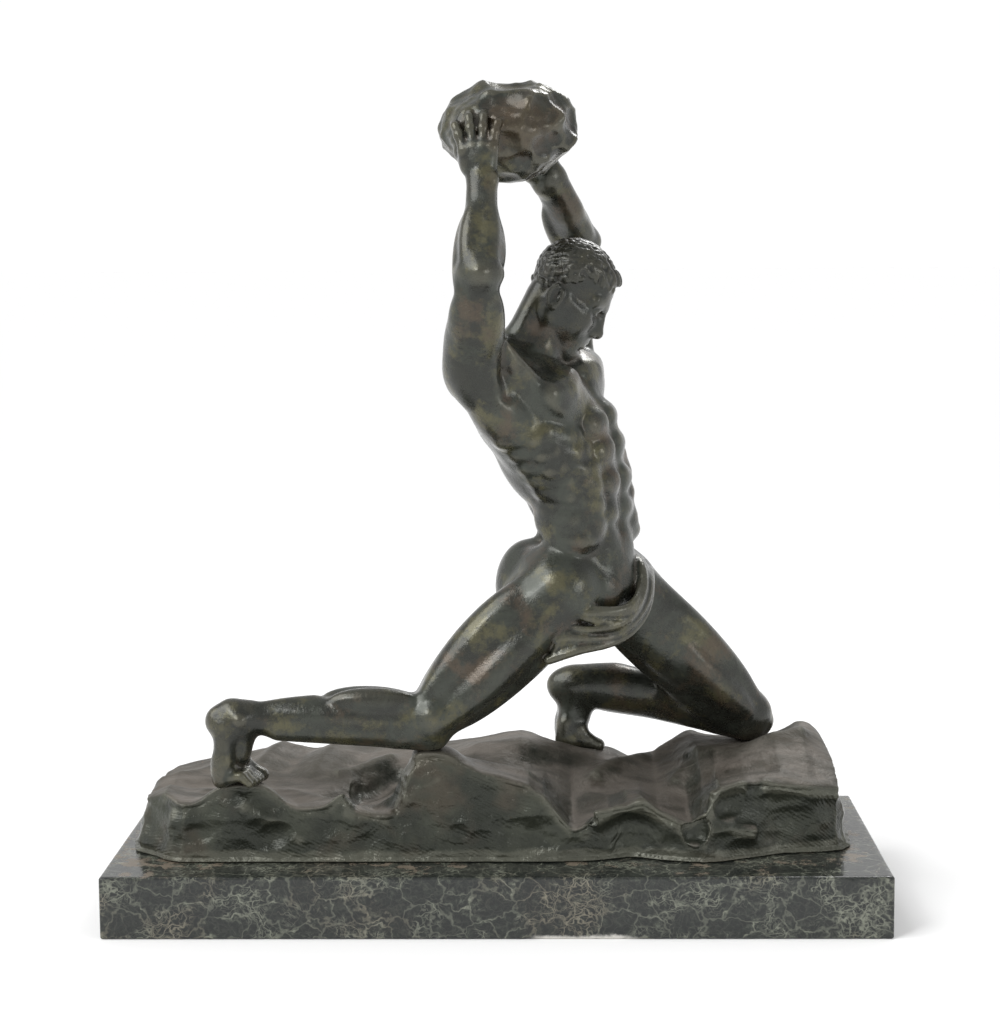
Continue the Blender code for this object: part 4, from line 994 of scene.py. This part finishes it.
# seats of the feet and knees: x, y, height, half width and half depth; the ground comes up to the
# man's lowest point there and sinks him in it a little
def seatsUnder(clay):
    xs, ys, zs = clay.axes
    low = zs < 122
    solid = clay.field[:, :, low] < 0
    under = np.where(solid.any(2), zs[low][solid.argmax(2)], 999.0)
    seats = []
    for limbs, key, shift, wide, deep in ((nearLimbs, "ball", 4, 26, 20), (farLimbs, "ball", 4, 28, 22),
                                          (nearLimbs, "knee", 1, 23, 26), (farLimbs, "knee", -4, 38, 30)):
        x, y = limbs[key][0] + shift, limbs[key][1]
        columns = (np.abs(xs - x) < 0.6 * wide)[:, None] & (np.abs(ys - y) < 0.6 * deep)[None, :]
        seats.append((x, y, under[columns].min() + rockLook["sink"], wide, deep))
    return seats


# hollows cut into the ground: x, y, z, half width, depth and height, tip in degrees, softness of edge
rockHollows = (
    (-188, -80, 62, 24, 12, 17, 0, 1.5), (-142, -80, 58, 16, 12, 9, 20, 2.5),
    (-118, -84, 66, 20, 15, 12, -30, 2.5), (-73, -80, 80, 17, 17, 12, -12, 1.2),
    (-84, -88, 54, 22, 19, 10, 8, 3.0), (14, -102, 60, 62, 36, 26, 0, 3.0),
    (-24, -74, 59, 10, 6, 7, 0, 1.0), (-16, -76, 90, 14, 7, 6, 20, 1.5),
    (-44, -80, 82, 14, 13, 9, -24, 2.0), (62, -80, 62, 10, 13, 11, -14, 1.2),
    (92, -84, 58, 26, 16, 14, 0, 3.0), (127, -78, 62, 9, 13, 13, 0, 1.2),
    (157, -78, 76, 19, 19, 13, 14, 1.0), (150, -88, 54, 14, 19, 11, 30, 2.0),
    (199, -72, 64, 22, 16, 14, -6, 2.0), (214, -64, 88, 12, 12, 9, 20, 2.5),
    (-214, -70, 92, 14, 12, 8, 0, 3.0), (84, -76, 86, 18, 11, 8, -8, 2.0),
)
# ridges raised on its face: from, to, radius
rockRidges = (
    ((-161, -64, 75), (-127, -66, 54), 6.0), ((-96, -63, 70), (-72, -63, 66), 5.0),
    ((-56, -61, 80), (-38, -60, 92), 5.0), ((140, -60, 80), (158, -58, 85), 5.0),
    ((131, -64, 60), (166, -63, 56), 5.5), ((66, -62, 68), (92, -60, 73), 5.5),
    ((94, -60, 73), (124, -63, 58), 5.0), ((-208, -60, 44), (-208, -60, 68), 7.0),
    ((176, -52, 84), (222, -40, 76), 5.0),
)


# the ground: top and flanks meet in a soft edge, then the ridges, hollows and chisel strokes go on
def sculptRock(figureClay):
    step = rockLook["step"] * 1
    clay = Clay([np.arange(-246, 242, step), np.arange(-82, 82, step), np.arange(36, 122, step)])
    xs, ys, zs = clay.axes
    x, y = np.meshgrid(xs, ys, indexing="ij")
    top = rockTop(x, y)
    for seatX, seatY, seat, wide, deep in seatsUnder(figureClay):
        near = np.exp(-(((x - seatX) / wide) ** 2 + ((y - seatY) / deep) ** 2) ** 2)
        top = top * (1 - near) + seat * near
    plan = outlineDistance(x, y)
    height = (zs[None, None, :] - top[:, :, None]) * 0.8
    flank = plan[:, :, None] + (zs[None, None, :] - 40) * 0.12
    h = np.clip(0.5 - 0.5 * (height - flank) / rockLook["melt"], 0, 1)
    rock = height + (flank - height) * h + rockLook["melt"] * h * (1 - h)
    floor = rockLook["bottom"] - zs[None, None, :]
    clay.field = np.maximum(rock, floor).astype(np.float32)
    for start, end, radius in rockRidges:
        clay.limb(start, end, (radius, radius), (radius * 0.8, radius * 0.8), melt=8)
    for cx, cy, cz, rx, ry, rz, tip, melt in rockHollows:
        a = math.radians(tip)
        axes = (vec(math.cos(a), 0, math.sin(a)), vec(0, 1, 0), vec(-math.sin(a), 0, math.cos(a)))
        clay.lump(vec(cx, cy, cz), (rx, ry, rz), axes, melt=melt, cut=True)
    # chisel strokes side by side down the slope right of the middle
    for k in range(rockLook["strokes"]):
        start = vec(33 + 3.6 * k, -66.5 + 0.3 * k, 84 - 1.1 * k)
        clay.limb(start, start + vec(15, -2, -15), (1.5, 3.5), (1.2, 2.5), vec(0, 1, 0), melt=0.6, cut=True)
    clay.field = np.maximum(clay.field, floor).astype(np.float32)
    return clay


# carve the ground's skin with the modeller's scoops: each point sinks by depth (1 - (d / r)^2),
# d its distance to the nearest seed, so the cells meet in crisp ridges
def chiselRock(points, normals, low):
    onTop = np.clip((normals[:, 2] - 0.5) * 4, 0, 1)
    depth = np.zeros(len(points))
    for spacing, seed, name, stretch, calmer in ((26, 5, "scoopDepth", (1.25, 1.0, 0.8), 0.75),
                                                 (15, 7, "middleScoopDepth", (1.4, 1.0, 0.75), 0.6),
                                                 (8, 6, "smallScoopDepth", (1.5, 1.0, 0.7), 0.6)):
        near = nearestSeeds(points, spacing, seed, stretch)
        depth += rockLook[name] * np.clip(1 - (near / 0.88) ** 2, 0, 1) * (1 - calmer * onTop)
    return points - normals * (depth * (points[:, 2] > low + 1.5))[:, None]


# normals of the skin from the slope of the field
def slopeAt(clay, points, reach=0.9):
    slope = np.stack([sampleField(clay, points + step) - sampleField(clay, points - step)
                      for step in np.eye(3) * reach], 1)
    return slope / np.maximum(np.linalg.norm(slope, axis=1), 1e-6)[:, None]


# marble plinth
plinthLook = dict(length=500.0, depth=210.0, height=40.0, edge=1.6, grid=2.5, chip=0.9)


# a box whose six sides are grids: a point on the cube is held to the inner box and pushed out by
# the edge's radius
def plinthSkin():
    size = np.array([plinthLook["length"], plinthLook["depth"], plinthLook["height"]]) / 2
    r = plinthLook["edge"]
    points, faces, total = [], [], 0
    for axis in range(3):
        o1, o2 = (axis + 1) % 3, (axis + 2) % 3
        lines = []
        for o in (o1, o2):
            inner = np.linspace(-size[o] + r, size[o] - r, int(2 * size[o] / plinthLook["grid"]))
            rim = size[o] - r + r * np.tan(np.radians((15, 30, 45)))
            lines.append(np.concatenate([-rim[::-1], inner, rim]))
        a, b = np.meshgrid(*lines, indexing="ij")
        for sign in (-1, 1):
            p = np.zeros((*a.shape, 3))
            p[..., o1], p[..., o2] = a, b
            p[..., axis] = sign * size[axis]
            points.append(p.reshape(-1, 3))
            n1, n2 = a.shape
            k = np.arange(n1 * n2).reshape(n1, n2) + total
            quad = np.stack([k[:-1, :-1], k[1:, :-1], k[1:, 1:], k[:-1, 1:]], -1).reshape(-1, 4)
            faces.append(quad if sign > 0 else quad[:, ::-1])
            total += n1 * n2
    points = np.concatenate(points)
    held = np.clip(points, -(size - r), size - r)
    out = points - held
    out /= np.maximum(np.linalg.norm(out, axis=1), 1e-9)[:, None]
    points = held + out * r
    # the points that the sides share along their edges become one
    key = np.round(points / 0.01).astype(np.int64)
    _, first, same = np.unique(key, axis=0, return_index=True, return_inverse=True)
    points, out = points[first], out[first]
    faces = same.reshape(-1)[np.concatenate(faces)]
    points[:, 2] += size[2]
    return points, faces, out


# chips bite into the edges where a pattern of sines crosses its threshold
def marbleChips(points, out):
    x, y, z = points.T
    ragged = (np.sin(x * 0.31 + 2 * np.sin(x * 0.083 + y * 0.05)) + np.sin(x * 0.73 + y * 0.61 + z * 0.9)
              + np.sin(x * 1.9 + z * 1.3 + y * 1.7) * 0.5)
    onEdge = np.sort(np.abs(out), axis=1)[:, 1] > 0.2
    depth = np.clip(ragged - 1.5, 0, 1) * plinthLook["chip"] * onEdge
    return points - out * depth[:, None]


class Wire:
    # one socket of a material's nodes: + - * add Math nodes
    def __init__(self, tree, socket):
        self.tree, self.socket = tree, socket

    def maths(self, operation, first, second):
        return addNode(self.tree, "ShaderNodeMath", {"operation": operation}, {0: first, 1: second})

    def __add__(self, other):
        return self.maths("ADD", self, other)

    def __radd__(self, other):
        return self.maths("ADD", other, self)

    def __sub__(self, other):
        return self.maths("SUBTRACT", self, other)

    def __rsub__(self, other):
        return self.maths("SUBTRACT", other, self)

    def __mul__(self, other):
        return self.maths("MULTIPLY", self, other)

    def __rmul__(self, other):
        return self.maths("MULTIPLY", other, self)


# add a node: its settings first, then the values or links of its sockets
def addNode(tree, kind, settings=None, sockets=None, out=0):
    node = tree.nodes.new(kind)
    for key, value in (settings or {}).items():
        setattr(node, key, value)
    for key, value in (sockets or {}).items():
        if isinstance(value, Wire):
            tree.links.new(value.socket, node.inputs[key])
        else:
            node.inputs[key].default_value = value
    return Wire(tree, node.outputs[out])


class Finish:
    # a material being built: where it is on the object, patterns there, and its surface
    def __init__(self, name):
        self.material = bpy.data.materials.new(name)
        self.material.use_nodes = True
        self.tree = self.material.node_tree
        self.surface = self.tree.nodes["Principled BSDF"]
        self.place = self.add("ShaderNodeTexCoord", out=3)

    def add(self, kind, settings=None, sockets=None, out=0):
        return addNode(self.tree, kind, settings, sockets, out)

    def noise(self, scale, detail, rough, place=None, distort=0.0):
        return self.add("ShaderNodeTexNoise", {"noise_dimensions": "3D"},
                        {"Vector": place or self.place, "Scale": scale, "Detail": detail, "Roughness": rough,
                         "Distortion": distort})

    def number(self, name):
        return self.add("ShaderNodeAttribute", {"attribute_name": name}, out=2)

    # smooth step: start below low, end above high, and 3 t^2 - 2 t^3 of the way between them
    def between(self, value, low, high, start=0.0, end=1.0):
        return self.add("ShaderNodeMapRange", {"interpolation_type": "SMOOTHSTEP"},
                        {"Value": value, "From Min": low, "From Max": high, "To Min": start, "To Max": end})

    def mix(self, factor, first, second):
        first, second = (c if isinstance(c, Wire) else (*c, 1) for c in (first, second))
        return self.add("ShaderNodeMix", {"data_type": "RGBA"}, {0: factor, 6: first, 7: second}, out=2)

    def away(self, centre):
        return self.add("ShaderNodeVectorMath", {"operation": "DISTANCE"}, {0: self.place, 1: centre}, out=1)

    def moved(self, scale=(1, 1, 1), turn=(0, 0, 0), shift=(0, 0, 0), place=None):
        return self.add("ShaderNodeMapping", None,
                        {"Vector": place or self.place, "Location": shift, "Rotation": turn, "Scale": scale})

    def bump(self, height, distance, strength, after=None):
        sockets = {"Height": height, "Distance": distance, "Strength": strength}
        if after:
            sockets["Normal"] = after
        return self.add("ShaderNodeBump", None, sockets)

    def feed(self, **sockets):
        names = {"colour": "Base Color", "roughness": "Roughness", "metallic": "Metallic", "normal": "Normal",
                 "coat": "Coat Weight", "coatRoughness": "Coat Roughness", "level": "Specular IOR Level"}
        for key, value in sockets.items():
            socket = self.surface.inputs[names[key]]
            if isinstance(value, Wire):
                self.tree.links.new(value.socket, socket)
            else:
                socket.default_value = value


# the man's patina: dark olive green, browner in the hollows, yellower where it thins, waxed
bronzeLook = dict(dark=(0.021, 0.0225, 0.0175), green=(0.038, 0.043, 0.033), brown=(0.070, 0.051, 0.033),
                  olive=(0.084, 0.078, 0.038), ridge=(0.110, 0.104, 0.074), dust=(0.044, 0.033, 0.022),
                  paintedHeadShade=(0.012, 0.013, 0.011), rust=(0.070, 0.046, 0.022),
                  roughness=0.28, metallic=0.45, coat=0.30, coatRoughness=0.2)


def bronzeFinish():
    look, m = bronzeLook, Finish("bronze")
    broad = m.noise(15, 3, 0.6)
    patch = m.noise(52, 5, 0.62, distort=0.7)
    fine = m.noise(420, 3, 0.6)
    bulge = m.number("bulge")
    base = broad * 0.5 + patch * 0.5 + (fine - 0.5) * 0.10
    colour = m.mix(m.between(base, 0.43, 0.58), look["dark"], look["green"])
    speckle = (fine - 0.5) * 0.12
    thin = m.noise(40, 5, 0.65, place=m.moved(shift=(8, 3, 1))) + speckle
    colour = m.mix(m.between(thin, 0.50, 0.66, 0, 0.85), colour, look["olive"])
    warm = m.noise(33, 5, 0.65, place=m.moved(shift=(3, 1, 2))) + speckle
    colour = m.mix(m.between(warm, 0.52, 0.68, 0, 0.8), colour, look["brown"])
    colour = m.mix(m.between(bulge + fine * 0.05, 0.08, 0.34, 0, 0.45), colour, look["ridge"])
    colour = m.mix(m.between(bulge + patch * 0.1, -0.02, -0.32, 0, 0.5), colour, look["dust"])
    # rust-brown on the front of the boulder
    fromSpot = m.away((0.022, -0.055, 0.512)) + (patch - 0.5) * 0.03
    colour = m.mix(m.between(fromSpot, 0.034, 0.016, 0, 0.5), colour, look["rust"])
    # painted shade: the head, bowed under the boulder between the raised arms, is darker than the rest
    colour = m.mix(m.between(m.away((0.054, 0.0, 0.410)), 0.046, 0.034, 0, 0.55), colour, look["paintedHeadShade"])
    roughness = look["roughness"] + (patch - 0.5) * 0.36 + (fine - 0.5) * 0.16
    normal = m.bump(m.noise(800, 3, 0.6), 0.0003, 0.4)
    normal = m.bump(m.noise(230, 3, 0.6), 0.0007, 0.36, after=normal)
    normal = m.bump(m.noise(75, 4, 0.6, distort=0.5), 0.0022, 0.28, after=normal)
    m.feed(colour=colour, roughness=roughness, metallic=look["metallic"], coat=look["coat"],
           coatRoughness=look["coatRoughness"], normal=normal)
    return m.material


# the ground: the same bronze left rougher, combed on its steep faces and dusty on top
groundLook = dict(dark=(0.023, 0.026, 0.019), green=(0.043, 0.047, 0.034), brown=(0.066, 0.052, 0.036),
                  dusty=(0.195, 0.172, 0.148), bare=(0.092, 0.083, 0.068), ridge=(0.145, 0.145, 0.112),
                  rust=(0.20, 0.10, 0.035), metallic=0.4, roughness=0.31, combs=210.0)


def groundFinish():
    look, m = groundLook, Finish("earth_bronze")
    patch = m.noise(34, 4, 0.6, distort=0.5)
    fine = m.noise(500, 3, 0.6)
    bulge = m.number("bulge")
    flat = m.number("flat")
    colour = m.mix(m.between(patch, 0.38, 0.64), look["dark"], look["green"])
    warm = m.noise(24, 3, 0.6, place=m.moved(shift=(5, 2, 1)))
    colour = m.mix(m.between(warm, 0.50, 0.70, 0, 0.6), colour, look["brown"])
    # dust lies on what faces up, thinner on the crests and in smears
    top = m.between(flat + (patch - 0.5) * 0.45 + (fine - 0.5) * 0.25, 0.55, 0.98)
    smear = m.noise(30, 4, 0.6, place=m.moved(scale=(0.5, 1.6, 1.0), shift=(2, 8, 5)))
    dust = m.mix(m.between(smear - bulge * 0.25, 0.36, 0.62), look["bare"], look["dusty"])
    colour = m.mix(top * 0.85, colour, dust)
    colour = m.mix(m.between(bulge + fine * 0.2, 0.26, 0.80, 0, 0.42), colour, look["ridge"])
    spots = m.noise(70, 2, 0.5, place=m.moved(shift=(1, 7, 3)))
    colour = m.mix(m.between(spots, 0.76, 0.82, 0, 0.7), colour, look["rust"])
    # comb strokes: fine bands that swing from patch to patch
    swing = m.noise(16, 1, 0.5, place=m.moved(shift=(4, 4, 4)))
    comb = m.add("ShaderNodeTexWave", {"wave_type": "BANDS", "bands_direction": "DIAGONAL"},
                 {"Vector": m.moved(turn=(0.3, 0.5, 0.2)), "Scale": look["combs"], "Distortion": swing * 16.0,
                  "Detail": 2.0, "Detail Scale": 0.25, "Detail Roughness": 0.6})
    where = m.between(m.noise(22, 2, 0.5, place=m.moved(shift=(9, 4, 6))), 0.40, 0.60)
    combed = where * (1 - m.between(flat, 0.30, 0.75))
    normal = m.bump(comb * combed, 0.0003, 0.3)
    normal = m.bump(m.noise(60, 5, 0.6, distort=0.8), 0.0040, 0.42, after=normal)
    normal = m.bump(m.noise(160, 4, 0.6), 0.0014, 0.45, after=normal)
    normal = m.bump(fine, 0.0004, 0.4, after=normal)
    roughness = look["roughness"] + top * 0.22 + (patch - 0.5) * 0.18 + (fine - 0.5) * 0.14
    m.feed(colour=colour, roughness=roughness, metallic=look["metallic"], normal=normal)
    return m.material


# green marble: near-black green crossed by nets of fine pale veins, with a dusty crust on its top
marbleLook = dict(dark=(0.015, 0.017, 0.016), green=(0.040, 0.048, 0.038), vein=(0.200, 0.210, 0.165),
                  warm=(0.200, 0.165, 0.120), white=(0.58, 0.56, 0.52), crust=(0.25, 0.20, 0.15),
                  roughness=0.13)


def marbleFinish():
    look, m = marbleLook, Finish("green_marble")
    # the veins' places are bent twice: each place moves by a coloured noise times its reach
    bent = m.place
    for scale, detail, rough, reach in ((42.0, 3.0, 0.6, 0.022), (190.0, 2.0, 0.5, 0.006)):
        sway = m.add("ShaderNodeTexNoise", None,
                     {"Vector": m.place, "Scale": scale, "Detail": detail, "Roughness": rough}, out=1)
        bent = m.add("ShaderNodeVectorMath", {"operation": "MULTIPLY_ADD"},
                     {0: sway, 1: (reach, reach, reach), 2: bent})

    # a net of lines as wide as given: 1 on a line, 0 away from it
    def cracks(scale, wide, shift):
        place = m.moved(scale=(1, 1, 1.35), shift=(shift, shift, shift), place=bent)
        edge = m.add("ShaderNodeTexVoronoi", {"feature": "DISTANCE_TO_EDGE"},
                     {"Vector": place, "Scale": scale})
        return m.between(edge, 0.0, wide, 1, 0)

    where = m.between(m.noise(30, 4, 0.65, place=m.moved(shift=(2, 5, 1))), 0.47, 0.62)
    cloud = m.between(m.noise(60, 6, 0.72, place=m.moved(shift=(6, 2, 3))), 0.50, 0.66)
    big = cracks(48.0, 0.05, 0.0)
    net = cracks(95.0, 0.065, 0.3)
    fine = cracks(230.0, 0.09, 0.7)
    mottle = m.between(m.noise(210, 5, 0.7, distort=0.6), 0.46, 0.64)
    warm = m.between(m.noise(18, 3, 0.6, place=m.moved(shift=(7, 1, 4))), 0.50, 0.64, 0, 0.6)
    vein = m.mix(warm, look["vein"], look["warm"])
    colour = m.mix(mottle * (0.35 + cloud * 0.65), look["dark"], look["green"])
    colour = m.mix(cloud * mottle * 0.35, colour, vein)
    colour = m.mix(fine * (0.05 + where * 0.42), colour, vein)
    colour = m.mix(net * (0.08 + where * 0.70), colour, vein)
    colour = m.mix(big * (0.35 + cloud * 0.60), colour, vein)
    x, y, z = (m.add("ShaderNodeSeparateXYZ", None, {"Vector": m.place}, out=k) for k in range(3))
    # crust on the top where the ground's front foot meets it, and over the left corner
    ragged = m.noise(60, 5, 0.7)
    top = m.between(z, 0.0385, 0.0398)
    foot = m.between(y + (ragged - 0.5) * 0.016, -0.086, -0.076) * top
    across = x + (ragged - 0.5) * 0.05
    corner = m.between(across, -0.195, -0.215) * m.between(across, -0.245, -0.232) * top
    corner = corner * m.between(y, -0.05, -0.075)
    crust = m.between(ragged + foot * 0.07 + corner * 0.10, 0.60, 0.70) * top * 0.6
    colour = m.mix(crust, colour, look["crust"])
    # white patch low in the middle of the front
    low = m.between(z + (ragged - 0.5) * 0.009 + (x - 0.056) * (x - 0.056) * 1.6, 0.0045, 0.0015)
    middle = m.between(x, 0.018, 0.032) * m.between(x, 0.096, 0.080)
    colour = m.mix(low * middle * m.between(y, -0.09, -0.1), colour, look["white"])
    roughness = look["roughness"] + net * where * 0.12 + crust * 0.45 + (mottle - 0.5) * 0.08
    normal = m.bump(net * where + big * 0.6 + fine * 0.4, 0.0002, 0.2)
    normal = m.bump(m.noise(300, 3, 0.6), 0.0002, 0.15, after=normal)
    m.feed(colour=colour, roughness=roughness, metallic=0.0, normal=normal)
    return m.material


# give a piece its material and its body, and hide the CAD node that it stands for
def finishPiece(piece, finish, node):
    piece.data.materials.append(finish)
    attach(piece, "root")
    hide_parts(node)
    stage(f"{piece.name}: {len(piece.data.polygons)} faces")


figureClay = sculptFigure()
points, faces = skinOf(figureClay.field, figureClay.axes)
numbers = {"bulge": bulgeAt(figureClay, points, 3.0)}
figure = meshPiece("man_and_boulder", points, faces, numbers, figureLook["triangles"])
finishPiece(figure, bronzeFinish(), "figure")

rockClay = sculptRock(figureClay)
points, faces = skinOf(rockClay.field, rockClay.axes)
normals = slopeAt(rockClay, points)
points = chiselRock(points, normals, rockLook["bottom"])
numbers = {"bulge": bulgeAt(rockClay, points, 4.0), "flat": normals[:, 2]}
rock = meshPiece("rocky_ground", points, faces, numbers, rockLook["triangles"])
finishPiece(rock, groundFinish(), "rock_base")

points, faces, out = plinthSkin()
slab = meshPiece("marble_slab", marbleChips(points, out), faces)
finishPiece(slab, marbleFinish(), "plinth")

# floor, light and camera: the sky is white near the horizon and greyer overhead, and a wide soft sun
# from the left makes the floor as white as the horizon, so that only the shadow shows on it
studioLook = dict(floor=(0.96, 0.96, 0.96), horizon=1.02, overhead=0.60, whiteUpTo=0.12, greyFrom=0.45,
                  sunPower=1.75, sunWidth=48, keyPower=7.0, fillPower=3.0, rimPower=5.0)
floorMesh = bpy.data.meshes.new("floor")
floorMesh.from_pydata([(-40, -40, 0), (40, -40, 0), (40, 40, 0), (-40, 40, 0)], [], [(0, 1, 2, 3)])
floorPiece = bpy.data.objects.new("floor", floorMesh)
bpy.context.collection.objects.link(floorPiece)
floorPaint = Finish("floor")
floorPaint.feed(colour=(*studioLook["floor"], 1), roughness=0.95, level=0.0)
floorMesh.materials.append(floorPaint.material)

world = bpy.data.worlds.new("studio")
world.use_nodes = True
sky = world.node_tree
way = addNode(sky, "ShaderNodeTexCoord")
height = addNode(sky, "ShaderNodeSeparateXYZ", None, {"Vector": way}, out=2)
bright = addNode(sky, "ShaderNodeMapRange", None, {
    "Value": height, "From Min": studioLook["whiteUpTo"], "From Max": studioLook["greyFrom"],
    "To Min": studioLook["horizon"], "To Max": studioLook["overhead"]})
sky.nodes["Background"].inputs["Color"].default_value = (1, 1, 1, 1)
sky.links.new(bright.socket, sky.nodes["Background"].inputs["Strength"])
bpy.context.scene.world = world


# a lamp that looks at the middle of the figure
figureMiddle = Vector((0, 0, 0.28))


def addLamp(name, kind, place, power):
    lamp = bpy.data.lights.new(name, kind)
    lamp.energy = power
    light = bpy.data.objects.new(name, lamp)
    light.location = place
    light.rotation_euler = (figureMiddle - Vector(place)).to_track_quat("-Z", "Y").to_euler()
    bpy.context.collection.objects.link(light)
    return lamp


addLamp("sun", "SUN", (-1.5, -0.6, 2.0), studioLook["sunPower"]).angle = math.radians(studioLook["sunWidth"])
for name, place, size in (("key", (-0.9, -1.3, 1.5), 0.40), ("fill", (1.3, -1.0, 0.8), 0.50),
                          ("rim", (0.5, 1.2, 1.3), 0.45)):
    addLamp(name, "AREA", place, studioLook[name + "Power"]).size = size

# the camera stands where the photograph was taken: its place, its turn to the left and down, and a
# slight roll; the focal length is in the picture's own pixels
cameraLook = dict(place=(0.0307, -1.466, 0.4331), left=1.105, down=6.770, roll=-0.37, focal=2230.0, high=1022)
lens = bpy.data.cameras.new("camera")
camera = bpy.data.objects.new("camera", lens)
bpy.context.collection.objects.link(camera)
lens.sensor_fit = "VERTICAL"
lens.sensor_height = 36
lens.lens = 36 * cameraLook["focal"] / cameraLook["high"]
left, down = math.radians(cameraLook["left"]), math.radians(cameraLook["down"])
ahead = Vector((-math.sin(left) * math.cos(down), math.cos(left) * math.cos(down), -math.sin(down)))
right = ahead.cross(Vector((0, 0, 1))).normalized()
above = right.cross(ahead)
turn = Matrix((right, above, -ahead)).transposed().to_4x4()
camera.matrix_world = (Matrix.Translation(cameraLook["place"]) @ turn
                       @ Matrix.Rotation(math.radians(cameraLook["roll"]), 4, "Z"))
bpy.context.scene.camera = camera
bpy.context.scene.view_settings.view_transform = "Standard"

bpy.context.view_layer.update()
stage("scene ready")
